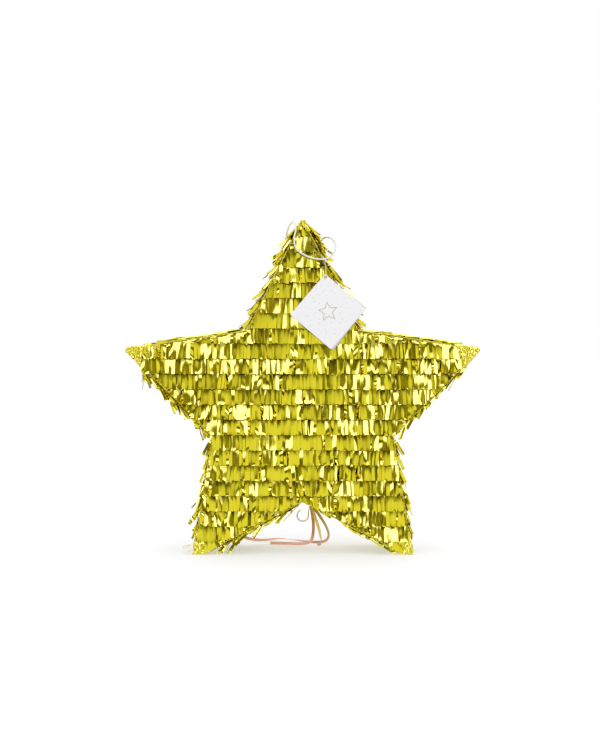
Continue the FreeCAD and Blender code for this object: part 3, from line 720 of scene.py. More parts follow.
def looks(rng, count, style):
    """A look for each strip. Neighbours come in groups, and some groups lie in one plane."""
    made = 0
    while made < count:
        calm = rng.random() < style.calm
        group = rng.choice((2, 3, 3, 4, 5)) if calm else rng.choice((1, 1, 2, 2, 3))
        loose = 0.12 if calm else 1.0
        yaw = rng.gauss(0, style.yaw) * (0.45 if calm else 1.0)
        flare = rng.gauss(0, style.spread)
        bend = rng.gauss(style.bend, style.bend_spread)
        twist = rng.gauss(0, style.twist) * (0.3 if calm else 1.0)
        lean = rng.gauss(0, 0.02 if calm else 0.06)
        tone = rng.random()
        for _ in range(min(group, count - made)):
            made += 1
            wild = rng.random() < style.wild
            spin = rng.uniform(15, 50) * rng.choice((-1, 1)) if wild else 0
            yield {
                "flare": math.radians(max(style.least, style.flare + flare + rng.gauss(0, 0.6))),
                "bulge": math.radians(max(0, rng.gauss(style.bulge, 4))),
                "bend": math.radians(bend + rng.gauss(0, 1.5) * loose),
                "wave": math.radians(rng.gauss(0, style.wave)) if wild else 0.0,
                "ripple": rng.uniform(3, 7),
                "curl": math.radians(rng.uniform(-0.6, 1.0) * style.curl),
                "lean": lean + rng.gauss(0, 0.012),
                "yaw": math.radians(yaw + rng.gauss(0, style.jitter) * loose + spin * 0.6),
                "twist": math.radians(twist + rng.gauss(0, style.twist) * loose + spin),
                "cup": rng.gauss(0, 0.05) * MM,
                "cut": rng.uniform(-0.3, 0.3),
                "tone": min(1, max(0, tone * 0.8 + rng.random() * 0.3)),
                "lift": rng.uniform(0, 0.5) * MM,
                # painted shade under the row above: how dark, how far down the strip, and how it slants
                # across
                "shade": min(1, rng.uniform(0.45, 1.25)),
                "reach": rng.uniform(0.26, 0.56),
                "slope": rng.uniform(-0.35, 0.35),
                "slack": rng.gauss(0, 0.35) * MM + (rng.uniform(0, 1.5) * MM if wild else 0),
            }


UNDER = Style(2.5, 0.5, 1.0, 1.0, 2.0, 1.0, 0.0, 0.0, 1.5, 1.0, 0.9, 6.0, 10.0)
FACE = Style(5.0, 2.0)
UNDER_LIFT = 0.5 * MM       # how far the plain and the lively layers' roots stand off the card
FACE_LIFT = 0.9 * MM


def add_strip(sheets, root, axes, length, width, look):
    start = root + axes[1] * look["lift"]
    grid = strip_grid(start, axes, length + look["slack"], width, look)
    grid[:, :, 2] = np.maximum(grid[:, :, 2], FLOOR_GAP)
    # painted shade near the root, where the row above hangs over the strip
    share = SHARES * length / STRIP_LENGTH
    reach = look["reach"] + look["slope"] * ACROSS
    shade = look["shade"] * np.clip((reach[None, :] - share[:, None]) / 0.12, 0, 1)
    sheets.add(grid, look["tone"], depth=shade)


# ---- rows on the front and the back

DOWN = np.array([0.0, 0.0, -1.0])
RIGHT = np.array([1.0, 0.0, 0.0])
LEAST_STRIP = 3.5 * MM
ROW_OUTLINE = star_outline(1.2 * MM)

FLAP_HINGE_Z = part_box("fill_flap")[1].z
FLAP_LOW_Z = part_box("fill_flap")[0].z
FLAP_HALF = 48.5 * MM       # no fixed strip hangs over the flap's edge
FLAP_STRIPS_HALF = FLAP_HALF - 3 * MM
ABOVE_HINGE = 2.5 * MM
BELOW_HINGE = 2.0 * MM


def row_bottom(row):
    return PANEL_HIGH.z - ROW_PITCH * row


def ragged(x, seed, most):
    """How far the strips hang past an underside at x."""
    share = noise.noise(Vector((x * 38, seed, 0.0))) + 0.35 * noise.noise(Vector((x * 170, seed, 2.0)))
    return most * max(0.0, share + 0.12) * 1.6


def front_spans(x):
    """The outline, with the rows hanging a little past its undersides, most of all on the left."""
    kept = []
    for low, high in spans(x, ROW_OUTLINE):
        past = ragged(x, 5.0, 7 * MM if x < -80 * MM else 2.5 * MM)
        kept.append((max(low - past, FLOOR_GAP), high))
    return kept


HINGE_ROW = math.ceil((PANEL_HIGH.z - FLAP_HINGE_Z) / ROW_PITCH)


def back_spans(x):
    """The outline without the filling flap and the row that hangs over its hinge."""
    if abs(x) > FLAP_HALF:
        return spans(x, ROW_OUTLINE)
    kept = []
    for low, high in spans(x, ROW_OUTLINE):
        kept.append((low, FLAP_LOW_Z - 2 * MM))
        kept.append((row_bottom(HINGE_ROW - 1), high))
    return kept


def hinge_spans(x):
    """The strips over the flap's hinge."""
    if abs(x) > FLAP_STRIPS_HALF:
        return []
    return [(row_bottom(HINGE_ROW), row_bottom(HINGE_ROW) + STRIP_LENGTH)]


def flap_spans(x):
    if abs(x) > FLAP_STRIPS_HALF:
        return []
    return [(FLAP_LOW_Z - 7 * MM, FLAP_HINGE_Z - BELOW_HINGE)]


TAG_PRESS_REACH = 60 * MM           # across and down added up, from the tag's middle
TAG_SWEEP_REACH = 108 * MM          # from the tag's hole
TAG_SWEEP_HALF = math.radians(80)   # to each side of straight down


def under_tag(x, z):
    """True where the tag lies on the strips."""
    return abs(x - TAG_MIDDLE[0]) + abs(z - TAG_MIDDLE[2]) < TAG_PRESS_REACH


def tag_sweeps(x, z):
    """True where the swinging tag passes over the strips."""
    away = math.hypot(x - TAG_HOLE[0], z - TAG_HOLE[2])
    aside = math.atan2(x - TAG_HOLE[0], TAG_HOLE[2] - z)
    return away < TAG_SWEEP_REACH and abs(aside) < TAG_SWEEP_HALF


def cleared(look):
    """The look of a strip that keeps out of the swinging tag's way."""
    return dict(
        look, flare=min(look["flare"], math.radians(4.5)), bulge=min(look["bulge"], math.radians(9)),
        bend=min(look["bend"], 0.0), curl=min(look["curl"], 0.0), wave=0.0, slack=0.0,
    )


def pressed(look):
    """The look of a strip with the tag lying on it."""
    return dict(
        look, flare=math.radians(3), bulge=math.radians(6), bend=0.0, curl=0.0, wave=0.0,
        yaw=look["yaw"] * 0.35, twist=look["twist"] * 0.25,
    )


BAND_TONE = 0.3
# painted shade on the uncut band, under the strips that hang over it
BAND_SHADE = 0.8
OUTLINE_SHADE = 0.25        # less shade shows where the outline cuts a row's top off


def header(sheets, columns, surface_y, out_y):
    """The uncut band of foil that the strips of a row hang from, with shade painted into its colour."""
    for x, low, high in columns:
        xs = x + np.linspace(-0.55, 0.55, 3) * STRIP_PITCH
        zs = np.linspace(high, low, 6)
        grid = np.empty((len(zs), len(xs), 3))
        grid[:, :, 0] = xs[None, :]
        grid[:, :, 2] = zs[:, None]
        for i in range(len(zs)):
            for j in range(len(xs)):
                crease = noise.noise(Vector((xs[j], zs[i], out_y)) * 260)
                grid[i, j, 1] = surface_y + out_y * (0.35 + 0.2 * crease) * MM
        sheets.add(grid, BAND_TONE, depth=np.full(grid.shape[:2], BAND_SHADE))


def face_row(sheets, rng, row, span_rule, surface_y, out_y):
    """One row of strips on an upright face: a band, a plain layer and a lively layer."""
    low_z = row_bottom(row)
    high_z = low_z + STRIP_LENGTH
    axes = (DOWN, np.array([0.0, out_y, 0.0]), RIGHT)
    band = []
    phase = rng.uniform(0, STRIP_PITCH)
    count = int(2 * RADIUS / STRIP_PITCH)
    places = [phase - RADIUS + STRIP_PITCH * i for i in range(count)]
    for layer, (plain, lift) in enumerate(((UNDER, UNDER_LIFT), (FACE, FACE_LIFT))):
        for x, look in zip(places, looks(rng, count, plain)):
            place = x + (0.5 * STRIP_PITCH if layer else 0)
            for low, high in span_rule(place):
                top_z = min(high, high_z)
                end_z = max(low, low_z)
                middle_z = (top_z + end_z) / 2
                if top_z - end_z < LEAST_STRIP or is_bare(place, middle_z):
                    continue
                if layer == 0:
                    band.append((place, end_z + 1.5 * MM, top_z))
                if out_y < 0 and layer and under_tag(place, middle_z):
                    look = pressed(look)
                elif out_y < 0 and layer and tag_sweeps(place, middle_z):
                    look = cleared(look)
                root = np.array([place, surface_y + out_y * lift, top_z])
                width = STRIP_PITCH * (1.05 if layer else 0.99)
                if low > low_z:
                    look = dict(look, slack=0.0)
                if high < high_z and row > 3:
                    look = dict(look, shade=look["shade"] * OUTLINE_SHADE)
                add_strip(sheets, root, axes, top_z - end_z, width, look)
    if band:
        header(sheets, band, surface_y, out_y)


def make_front_rows():
    for row in range(1, ROW_COUNT + 1):
        rng = random.Random(100 + row)
        sheets = Sheets()
        face_row(sheets, rng, row, front_spans, FRONT_Y, -1.0)
        name = f"foil_front_row_{row:02d}"
        put_foil(name, sheets, "star", GOLD, f"front_fringe_row_{row:02d}")


def make_back_rows():
    for part, seed in (("upper", 200), ("middle", 230), ("lower", 260)):
        low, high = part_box(f"back_fringe_{part}")
        sheets = Sheets()
        for row in range(1, ROW_COUNT + 1):
            middle = row_bottom(row) + STRIP_LENGTH / 2
            if low.z < middle < high.z:
                face_row(sheets, random.Random(seed + row), row, back_spans, BACK_Y, 1.0)
        put_foil(f"foil_back_{part}", sheets, "star", GOLD, f"back_fringe_{part}")


def make_flap_rows():
    sheets = Sheets()
    for row in range(1, ROW_COUNT + 1):
        if row > HINGE_ROW and row_bottom(row) + STRIP_LENGTH > FLAP_LOW_Z + 8 * MM:
            face_row(sheets, random.Random(300 + row), row, flap_spans, BACK_Y, 1.0)
    put_foil("foil_flap_rows", sheets, "flap", GOLD, "fill_flap_fringe")
    hinge = Sheets()
    face_row(hinge, random.Random(299), HINGE_ROW, hinge_spans, BACK_Y, 1.0)
    piece = put_foil("foil_flap_hinge_row", hinge, None, GOLD, "back_fringe_middle")
    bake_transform(piece)


make_front_rows()
make_back_rows()
make_flap_rows()

# ---- rows on the side walls

DEEP = np.array([0.0, 1.0, 0.0])


class Wall:
    """A side wall, from the valley at an angle towards the tip on one hand (+1 is anticlockwise)."""

    def __init__(self, valley, hand):
        run = math.radians(valley) + hand * (HALF_STEP + HALF_POINT)
        out = run - hand * math.pi / 2
        self.start = polar(INNER, valley)
        self.run = np.array([math.cos(run), 0.0, math.sin(run)])
        self.out = np.array([math.cos(out), 0.0, math.sin(out)])
        self.course = -1 if self.run[2] > 0 else 1

    def at(self, u, y, lift=0.0):
        return self.start + self.run * u + self.out * lift + DEEP * y


WALL_SHADE = 0.45           # the walls' rows stand further out, so less shade shows under them
FIRST_ROW_SHADE = 0.15      # no row hangs over the first one


def wall_rows(sheets, rng, wall, first, last, plain, half_depth=WALL_HALF_DEPTH):
    """Rows on a wall between two places along it, each strip pointing downhill."""
    axes = (wall.run * wall.course, wall.out, DEEP)
    uphill, downhill = (first, last) if wall.course > 0 else (last, first)
    rows = max(1, round((abs(last - first) - STRIP_LENGTH) / ROW_PITCH) + 1)
    pitch = (abs(last - first) - STRIP_LENGTH) / max(1, rows - 1)
    count = int(2 * half_depth / STRIP_PITCH)
    for row in range(rows):
        u = uphill + wall.course * pitch * row
        length = min(STRIP_LENGTH, abs(downhill - u))
        # painted shade for this row: less on the walls, least on the first row
        row_shade = FIRST_ROW_SHADE if row == 0 else WALL_SHADE
        for layer in range(2):
            chosen = plain if layer else UNDER._replace(flare=max(2.5, plain.flare * 0.35))
            for i, look in enumerate(looks(rng, count, chosen)):
                y = (i + 0.5 - count / 2) * 2 * half_depth / count
                root = wall.at(u, y, FACE_LIFT if layer else UNDER_LIFT)
                edge = y / half_depth
                look["lean"] += 0.05 * edge * abs(edge)
                if layer and abs(edge) > 0.7:
                    look["yaw"] -= math.copysign(math.radians(rng.uniform(15, 65)), edge)
                look["shade"] *= row_shade
                longer = rng.uniform(1.1, 1.45) if layer and rng.random() < 0.1 else 1.0
                add_strip(sheets, root, axes, length * longer, STRIP_PITCH, look)
        steps = np.linspace(0, length - 1.5 * MM, 5)
        ys = np.linspace(-half_depth, half_depth, 40)
        band = np.array([[wall.at(u + wall.course * s, y, 0.3 * MM) for y in ys] for s in steps])
        # the band takes the row's painted shade
        sheets.add(band, BAND_TONE, depth=np.full(band.shape[:2], row_shade))


TOP_SIDE = Style(17, 6, 9, 7, 6, 8, 0.12, 4, 5, 6, 0.45, 8, 30)
ARM_TOP = Style(3.5, 1.2, 0, 2, 5, 5, 0.12, 2, 2, 5, 0.5, 5, 10)
ARM_UNDER_LEFT = Style(12, 9, 10, 8, 8, 12, 0.25, 5, 4)
ARM_UNDER_RIGHT = Style(6, 4, 5, 5, 8, 10, 0.2, 3, 3)
LEG_OUTER_LEFT = Style(9, 5, 5, 6, 6, 8, 0.12, 4, 3, 7, 0.45, 8, 30)
LEG_OUTER_RIGHT = Style(7, 5, 4, 5, 6, 8, 0.12, 4, 3, 7, 0.45, 8, 30)
NOTCH_LEFT = Style(10, 7, 9, 7, 8, 10, 0.25, 4, 3)
NOTCH_RIGHT = Style(4, 3, 3, 4, 7, 8, 0.2, 3, 2)
DOOR_STYLE = Style(3.5, 1.0, 1, 1.5, 5, 4, 0.1, 1.5, 2, 4, 0.6, 6, 15)

DOOR_CREASE_U = 53 * MM     # from the notch's corner, along the wall
DOOR_SLOT_U = 17 * MM       # the door's rows leave the ribbons' slot free


def make_side_rows():
    cap = WALL_LENGTH - BARE_TIP
    whole = WALL_LENGTH - 3 * MM
    valley = 2.5 * MM
    shoulder = 0.6 * MM
    plan = (
        ("top_arm", 400, ((54, 1, shoulder, whole, TOP_SIDE), (126, -1, shoulder, whole, TOP_SIDE))),
        ("left_arm", 410, ((126, 1, shoulder, cap, ARM_TOP), (198, -1, valley, cap, ARM_UNDER_LEFT))),
        ("left_leg", 420, ((198, 1, valley, cap, LEG_OUTER_LEFT), (270, -1, valley, cap, NOTCH_LEFT))),
        ("right_leg", 430, (
            (-90, 1, DOOR_CREASE_U + ABOVE_HINGE, cap, NOTCH_RIGHT),
            (-18, -1, valley, cap, LEG_OUTER_RIGHT),
        )),
        ("right_arm", 440, ((-18, 1, valley, cap, ARM_UNDER_RIGHT), (54, -1, shoulder, cap, ARM_TOP))),
    )
    for arm, seed, walls in plan:
        sheets = Sheets()
        for number, (degrees, hand, first, last, plain) in enumerate(walls):
            wall_rows(sheets, random.Random(seed + number), Wall(degrees, hand), first, last, plain)
        put_foil(f"foil_side_{arm}", sheets, "star", SIDE_GOLD, f"side_fringe_{arm}")


def make_door_rows():
    sheets = Sheets()
    wall = Wall(-90, 1)
    low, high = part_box("trap_door")
    half = (high.y - low.y) / 2 - 0.5 * MM
    last = DOOR_CREASE_U - BELOW_HINGE
    wall_rows(sheets, random.Random(450), wall, DOOR_SLOT_U, last, DOOR_STYLE, half)
    put_foil("foil_door_rows", sheets, "door", SIDE_GOLD, "trap_door_fringe")


make_side_rows()
make_door_rows()

# ---- rolled edges and bare tips


def crumple(point, scale, seed):
    """A ridged noise from -1 to 1, as in crushed foil."""
    place = Vector(point) * scale + Vector((seed, 0, 0))
    return 1 - 2 * abs(noise.noise(place)) * 1.8 + 0.35 * noise.noise(place * 2.7)


ROLL_RADIUS = 1.25 * MM


def rolled_edge(sheets, start, end, seed):
    """The foil's raw edge, rolled over where a face meets a wall."""
    steps = 90
    around = 9
    ahead = unit(end - start)
    one = unit(np.cross(ahead, DEEP))
    grid = np.empty((steps, around, 3))
    for i in range(steps):
        share = i / (steps - 1)
        middle = start + (end - start) * share
        drift = one * noise.noise(Vector(middle) * 45 + Vector((seed, 3, 0))) * 0.9 * MM
        size = ROLL_RADIUS * (0.85 + 0.35 * noise.noise(Vector(middle) * 110 + Vector((seed, 0, 7))))
        for j in range(around):
            angle = 2 * math.pi * j / around
            ridge = 0.22 * crumple(middle + ahead * 0.4 * j * MM, 330, seed + j)
            across = one * math.cos(angle) + DEEP * math.sin(angle)
            grid[i, j] = middle + drift + across * size * (1 + ridge)
    sheets.add(grid, 0.4 + 0.3 * math.sin(seed), closed=True)


def make_rolled_edges():
    sheets = Sheets()
    for arm in range(5):
        for hand in (-1, 1):
            tip_angle = 90 + 72 * arm
            wall = Wall(tip_angle - 36 * hand, hand)
            reach = WALL_LENGTH - (2 * MM if arm == 0 else BARE_TIP - 4 * MM)
            for y in (FRONT_Y - 0.4 * MM, BACK_Y + 0.4 * MM):
                start = wall.at(0, y, 0.1 * MM)
                end = wall.at(reach, y, 0.1 * MM)
                rolled_edge(sheets, start, end, 7 * arm + 3 * hand + (11 if y > 0 else 0))
    put_foil("foil_rolled_edges", sheets, "star", ROLLED_GOLD)


def wedge_section():
    """Places round a wedge's section, as shares across it and along its depth."""
    section = [(1.0, y) for y in np.linspace(-1, 1, 36)]
    section += [(w, 1.0) for w in np.linspace(1, -1, 9)[1:-1]]
    section += [(-1.0, y) for y in np.linspace(1, -1, 36)]
    section += [(w, -1.0) for w in np.linspace(-1, 1, 9)[1:-1]]
    return section


def tip_cap(sheets, degrees, length, grow, seed, start=1.4 * MM, blunt=0.0):
    """Foil folded over an arm's point: rings round the wedge, crumpled. blunt rounds its end."""
    angle = math.radians(degrees)
    axis = np.array([math.cos(angle), 0.0, math.sin(angle)])
    across = np.array([-axis[2], 0.0, axis[0]])
    half_y = -FRONT_Y + grow
    rings = 30
    section = wedge_section()
    grid = np.empty((rings, len(section), 3))
    for i in range(rings):
        away = length * (1 - i / (rings - 1)) ** 1.15
        swell = blunt * min(1.0, away / (3 * MM)) ** 0.5
        for j, (w, y) in enumerate(section):
            uneven = 1 + 0.16 * noise.noise(Vector((j * 0.23, seed, 0))) if i == 0 else 1
            distance = away * uneven + start
            half = distance * math.tan(HALF_POINT) + grow + swell
            place = polar(RADIUS - distance, degrees) + across * w * half + DEEP * y * half_y
            outward = unit(across * w * (0.3 + abs(w)) + DEEP * y * abs(y) ** 6 + axis * 0.2)
            fold = crumple(place, 75, seed) * 1.0 + crumple(place, 170, seed + 5) * 0.6
            grid[i, j] = place + outward * fold * MM
    grid[:, :, 2] = np.maximum(grid[:, :, 2], 0.15 * MM)
    sheets.add(grid, 0.35, closed=True)
    sheets.cap(-1)


def make_tip_caps():
    sheets = Sheets()
    for number, degrees in enumerate(BARE_ARMS):
        tip_cap(sheets, degrees, 30 * MM, 1.7 * MM, 3.1 * number + 1)
    tip_cap(sheets, 90, 13 * MM, 1.4 * MM, 17.0, 0.8 * MM, 1.6 * MM)
    put_foil("foil_bare_tips", sheets, "star", BARE_GOLD, "tip_wraps")


def loose_strip(sheets, rng, start, along, out, length, flare, bend, twist=0.3, width=3.6 * MM):
    """One strip by itself, from a point, running along and curling outwards."""
    along = unit(np.array(along, float))
    out = np.array(out, float)
    out = unit(out - along * np.dot(out, along))
    axes = (along, out, np.cross(along, out))
    look = {
        "flare": math.radians(flare), "bulge": 0.0, "bend": math.radians(bend), "wave": 0.12,
        "ripple": rng.uniform(3, 6), "curl": 0.0, "lean": 0.0, "yaw": rng.uniform(-0.3, 0.3),
        "twist": rng.uniform(-twist, twist), "cup": 0.08 * MM, "cut": rng.uniform(-0.4, 0.4),
        "tone": rng.random(), "lift": 0.0, "shade": 0.0, "reach": 0.0, "slope": 0.0, "slack": 0.0,
    }
    add_strip(sheets, np.array(start, float), axes, length, width, look)


def drape_top_strips(sheets, rng):
    """Long strips from the folded top: five down the front beside each edge, four on each wall."""
    for hand in (-1, 1):
        wall = Wall(90 - 36 * hand, hand)
        for number in range(9):
            in_front = number < 5
            y = FRONT_Y - 0.6 * MM - 0.35 * number * MM if in_front else rng.uniform(-30, 30) * MM
            start = wall.at(WALL_LENGTH - rng.uniform(4, 9) * MM, y, 1.6 * MM)
            forward = -0.10 if in_front else rng.uniform(-0.1, 0.1)
            side = DEEP * forward + wall.out * rng.uniform(-0.05, 0.1)
            length = rng.uniform(22, 40) * MM
            flare = rng.uniform(0, 4)
            loose_strip(sheets, rng, start, -wall.run + side, wall.out, length, flare, rng.uniform(2, 16))


def edge_strays(sheets, rng, wall, heading, count, place, depth, outward, length, bend, twist, widths):
    """Short strips along a wall's front edge. Each pair is the range of a random draw."""
    for _ in range(count):
        start = wall.at(rng.uniform(*place) * MM, rng.uniform(*depth) * MM, 0.8 * MM)
        along = heading + wall.out * rng.uniform(*outward)
        run = rng.uniform(*length) * MM
        turn = rng.uniform(*bend)
        width = rng.choice(widths) if len(widths) > 1 else widths[0]
        loose_strip(sheets, rng, start, along, wall.out, run, 0, turn, twist, width * MM)


def make_loose_strips():
    """The top's long strips, strays at the feet, tufts at three edges, and flakes on the floor."""
    sheets = Sheets()
    rng = random.Random(500)
    drape_top_strips(sheets, rng)
    left_foot = polar(RADIUS, 234)
    for _ in range(4):
        start = left_foot + np.array([-1.5 * MM, rng.uniform(-39, -20) * MM, rng.uniform(8, 22) * MM])
        along = (-1.0, rng.uniform(-0.2, 0.2), rng.uniform(-0.5, 0.1))
        loose_strip(sheets, rng, start, along, (0, 0, 1), rng.uniform(9, 15) * MM, -6, -14, 0.8, 2.2 * MM)
    left, right, under = Wall(270, -1), Wall(-90, 1), Wall(198, 1)
    edge_strays(sheets, rng, left, left.run * 0.8, 16, (40, 132), (-40, -30), (0.1, 0.8),
                (8, 17), (-20, 25), 0.8, (2.6,))
    edge_strays(sheets, rng, right, -right.run * 0.5, 14, (70, 135), (-40, -34), (0.2, 0.5),
                (5, 11), (-20, 10), 0.5, (1.0,))
    edge_strays(sheets, rng, under, DOWN * 0.9, 22, (18, 140), (-40, -24), (-0.2, 0.35),
                (7, 17), (-15, 25), 0.6, (1.6, 3.4))
    for place in ((-98, -30, 4.5), (-91, -8, 1.2), (-106, 14, 1.2)):
        along = (rng.uniform(-1, 1), rng.uniform(-0.5, 0.5), -0.12)
        start = np.array(place) * MM
        loose_strip(sheets, rng, start, along, (0, 0, 1), rng.uniform(8, 14) * MM, 0, 8, 0.2, 2.8 * MM)
    put_foil("foil_loose_strips", sheets, "star", SIDE_GOLD)


make_rolled_edges()
make_tip_caps()
make_loose_strips()

# ---- tag


FRONT_LEAF_SHIFT = (0.0, -46.95 * MM, 0.0)
BACK_LEAF_SHIFT = (1.0 * MM, -46.2 * MM, -0.8 * MM)     # its edge shows beside the front leaf
PRINT_Y = -47.2 * MM
LEAF_THICKNESS = 0.42 * MM
SHARP_EDGE = math.radians(40)


def solid_leaf(name, shift, turn, curl):
    """A square of card with a punched hole, slightly bowed, moved from the tag's middle by shift."""
    cells = 28
    grid = np.empty((cells + 1, cells + 1, 3))
    spin = Matrix.Rotation(turn, 3, "Y")
    for i in range(cells + 1):
        for j in range(cells + 1):
            s, t = i / cells, j / cells
            flat = TAG_TOP * (1 - s) * (1 - t) + TAG_RIGHT * s * (1 - t) + TAG_LEFT * (1 - s) * t
            flat = flat + TAG_BOTTOM * s * t
            place = TAG_MIDDLE + np.array(spin @ Vector(flat - TAG_MIDDLE))
            bow = curl * ((s - 0.5) ** 2 + 0.5 * (t - 0.5) ** 2) * 4
            grid[i, j] = place + np.array(shift) - DEEP * bow
    sheets = Sheets()
    sheets.add(grid)
    piece = linked(name, sheets.mesh(name))
    solid = piece.modifiers.new("thickness", "SOLIDIFY")
    solid.thickness = LEAF_THICKNESS
    solid.offset = 0
    bevel = piece.modifiers.new("soft_edge", "BEVEL")
    bevel.width = LEAF_THICKNESS * 0.2
    bevel.segments = 2
    bevel.limit_method = "ANGLE"
    punch = punch_tool()
    cut = piece.modifiers.new("hole", "BOOLEAN")
    cut.operation = "DIFFERENCE"
    cut.object = punch
    return piece, punch


def punch_tool():
    mesh = bpy.data.meshes.new("punch")
    shape = bmesh.new()
    place = Matrix.Translation(Vector((TAG_HOLE[0], -46.5 * MM, TAG_HOLE[2])))
    turn = Matrix.Rotation(math.radians(90), 4, "X")
    bmesh.ops.create_cone(
        shape, cap_ends=True, segments=40, radius1=TAG_HOLE_RADIUS, radius2=TAG_HOLE_RADIUS,
        depth=8 * MM, matrix=place @ turn,
    )
    shape.to_mesh(mesh)
    shape.free()
    return linked("punch", mesh)


def applied(piece, punch, name):
    """The piece's mesh with its modifiers applied; the piece and its tool are removed."""
    bpy.context.view_layer.update()
    graph = bpy.context.evaluated_depsgraph_get()
    mesh = bpy.data.meshes.new_from_object(piece.evaluated_get(graph))
    mesh.name = name
    bpy.data.objects.remove(piece)
    bpy.data.objects.remove(punch)
    return mesh


def make_tag():
    for name, node, shift, turn, curl, material in (
        ("card_tag_front", "tag_front_leaf", FRONT_LEAF_SHIFT, 0.0, -0.12 * MM, TAG_CARD),
        ("card_tag_back", "tag_back_leaf", BACK_LEAF_SHIFT, math.radians(-2), -0.06 * MM, TAG_BACK),
    ):
        piece, punch = solid_leaf(name + "_base", shift, turn, curl)
        mesh = applied(piece, punch, name)
        mesh.shade_smooth()
        mesh.set_sharp_from_angle(angle=SHARP_EDGE)
        put(name, mesh, "tag", material, [node])


def make_motif():
    """A plain outlined star printed in gold on the tag."""
    tilt = math.radians(8)
    outer, inner, line = 13 * MM, 6.0 * MM, 0.62 * MM
    rings = []
    for offset in (0.0, line):
        ring = []
        for corner in range(10):
            radius = (inner if corner % 2 else outer) - offset * (1.2 if corner % 2 else 2.4)
            angle = math.pi / 2 + tilt + corner * math.pi / 5
            spoke = np.array([radius * math.cos(angle), PRINT_Y, radius * math.sin(angle)])
            ring.append(TAG_MIDDLE + spoke)
        rings.append(ring)
    raised = [[point + np.array([0, -0.04 * MM, 0]) for point in ring] for ring in rings]
    sheets = Sheets()
    loop = np.array([rings[0], raised[0], raised[1], rings[1]])
    sheets.add(loop, closed=True)
    put_foil("tag_star_print", sheets, "tag", PRINT_GOLD)


make_tag()
make_motif()

# ---- card, tape and the loose bits

CARD_NODES = (
    "front_panel", "back_panel", "wall_top_arm", "wall_left_arm", "wall_left_leg",
    "wall_right_leg", "wall_right_arm", "trap_door", "fill_flap",
)
TAPE_NODES = (
    "trap_door_tape_fixed", "trap_door_tape_moving", "fill_flap_tape_fixed",
    "fill_flap_tape_moving", "seam_tapes",
)


def paint(names, material):
    for name in names:
        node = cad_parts[name]
        if not node.material_slots:
            node.data.materials.append(material)
        for slot in node.material_slots:
            slot.material = material


paint(CARD_NODES, CARD)
paint(TAPE_NODES, TAPE)

# ---- floor, light and world


FLOOR_HALF = 20             # metres
FLOOR_DROP = 0.05 * MM      # so that the floor and the feet don't share a plane


def make_floor():
    material, nodes, place = new_material("pale_floor")
    grain = nodes.noise(place, 9, 2.0)
    finish_material(material, nodes, {
        "Base Color": nodes.mix(grain, (0.60, 0.605, 0.63), (0.62, 0.625, 0.645)),
        "Roughness": 0.9,
        "Specular IOR Level": 0.1,
        "Emission Color": (1.0, 0.985, 0.93, 1.0),
        "Emission Strength": 0.44,
    })
    mesh = bpy.data.meshes.new("floor")
    corners = [(x * FLOOR_HALF, y * FLOOR_HALF, 0) for x, y in ((-1, -1), (1, -1), (1, 1), (-1, 1))]
    mesh.from_pydata(corners, [], [(0, 1, 2, 3)])
    mesh.materials.append(material)
    floor = linked("floor", mesh)
    floor.location.z = -FLOOR_DROP
    floor.visible_glossy = False        # so that the foil mirrors the cards from above as well


def softbox(name, place, target, width, height, watts):
    data = bpy.data.lights.new(name, "AREA")
    data.shape = "RECTANGLE"
    data.size = width
    data.size_y = height
    data.energy = watts
    light = linked(name, data)
    light.location = place
    aim = Vector(target) - Vector(place)
    light.rotation_euler = aim.to_track_quat("-Z", "Y").to_euler()


CARD_WOBBLE = 0.35      # radians, how unevenly the cards stand
CARD_SLANT = 0.45       # radians, how far they lean for each unit of height
CARD_REACH = 0.35       # height up to which they lean
CARD_TONES = (
    (0.0, 1.06), (0.11, 0.98), (0.13, 0.84), (0.19, 0.70), (0.22, 0.34), (0.30, 0.20),
    (0.34, 0.95), (0.55, 0.85), (0.58, 0.15), (0.76, 0.20), (0.81, 1.05),
)
PALE_CARD = (1.0, 0.985, 0.62)
DARK_CARD = (1.0, 0.89, 0.15)
CARD_LAMPS = ((0.33, 0.0), (0.37, 1.0), (0.51, 1.0), (0.55, 0.0))
LAMP_LIGHT = (2.9, 2.9, 11.0)     # so blue that gold foil mirrors it as a pale cream


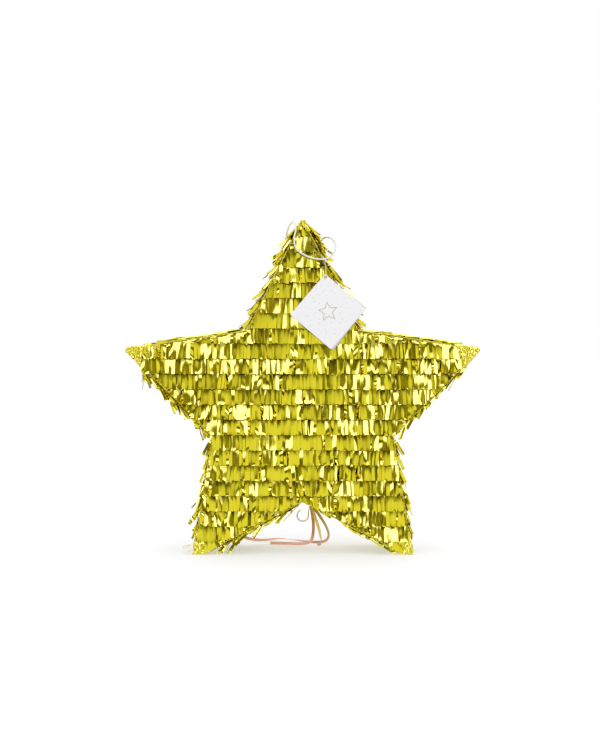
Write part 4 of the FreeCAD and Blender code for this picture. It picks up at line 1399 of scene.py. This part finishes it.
def make_world():
    """A white room for the camera and for plain surfaces; the foil mirrors a studio of cards."""
    world = bpy.data.worlds.new("studio")
    bpy.context.scene.world = world
    world.use_nodes = True
    nodes = Nodes(world.node_tree)
    direction = nodes.add("ShaderNodeTexCoord").outputs["Generated"]
    parts = nodes.add("ShaderNodeSeparateXYZ", {"Vector": direction})
    height = parts.outputs["Z"]
    round_it = nodes.math("ARCTAN2", parts.outputs["Y"], parts.outputs["X"])
    quarter = nodes.math("PINGPONG", round_it, math.pi / 4)
    wobble = nodes.math("SUBTRACT", nodes.noise(direction, 1.7, 0.0), 0.5)
    bent = nodes.math("ADD", quarter, nodes.math("MULTIPLY", wobble, CARD_WOBBLE))
    level = nodes.math("MINIMUM", nodes.math("MAXIMUM", height, -CARD_REACH), CARD_REACH)
    slanted = nodes.math("ADD", bent, nodes.math("MULTIPLY", level, CARD_SLANT))
    cards = nodes.math("MULTIPLY", nodes.math("PINGPONG", slanted, math.pi / 4), 4 / math.pi)
    bright = nodes.ramp(cards, CARD_LAMPS)
    ceiling = nodes.ramp(height, ((0.78, 0.0), (0.84, 0.5)))
    stops = []
    for place, tone in CARD_TONES:
        tint = DARK_CARD if tone < 0.5 else PALE_CARD
        stops.append((place, tuple(min(1.0, tone * part) for part in tint)))
    lit = nodes.mix(nodes.math("MAXIMUM", bright, ceiling), nodes.ramp(cards, stops), LAMP_LIGHT)
    studio = nodes.add("ShaderNodeBackground", {"Color": lit, "Strength": 1.0})
    white = nodes.add("ShaderNodeBackground", {"Color": (1, 1, 1, 1), "Strength": 1.0})
    path = nodes.add("ShaderNodeLightPath")
    choice = nodes.add("ShaderNodeMixShader", {0: path.outputs["Is Glossy Ray"]})
    nodes.tree.links.new(white.outputs[0], choice.inputs[1])
    nodes.tree.links.new(studio.outputs[0], choice.inputs[2])
    nodes.add("ShaderNodeOutputWorld", {"Surface": choice.outputs[0]})


make_floor()
make_world()
softbox("overhead", (0.0, -0.3, 2.0), (0, 0, 0.2), 2.2, 1.6, 4)
bpy.context.scene.view_settings.view_transform = "Standard"
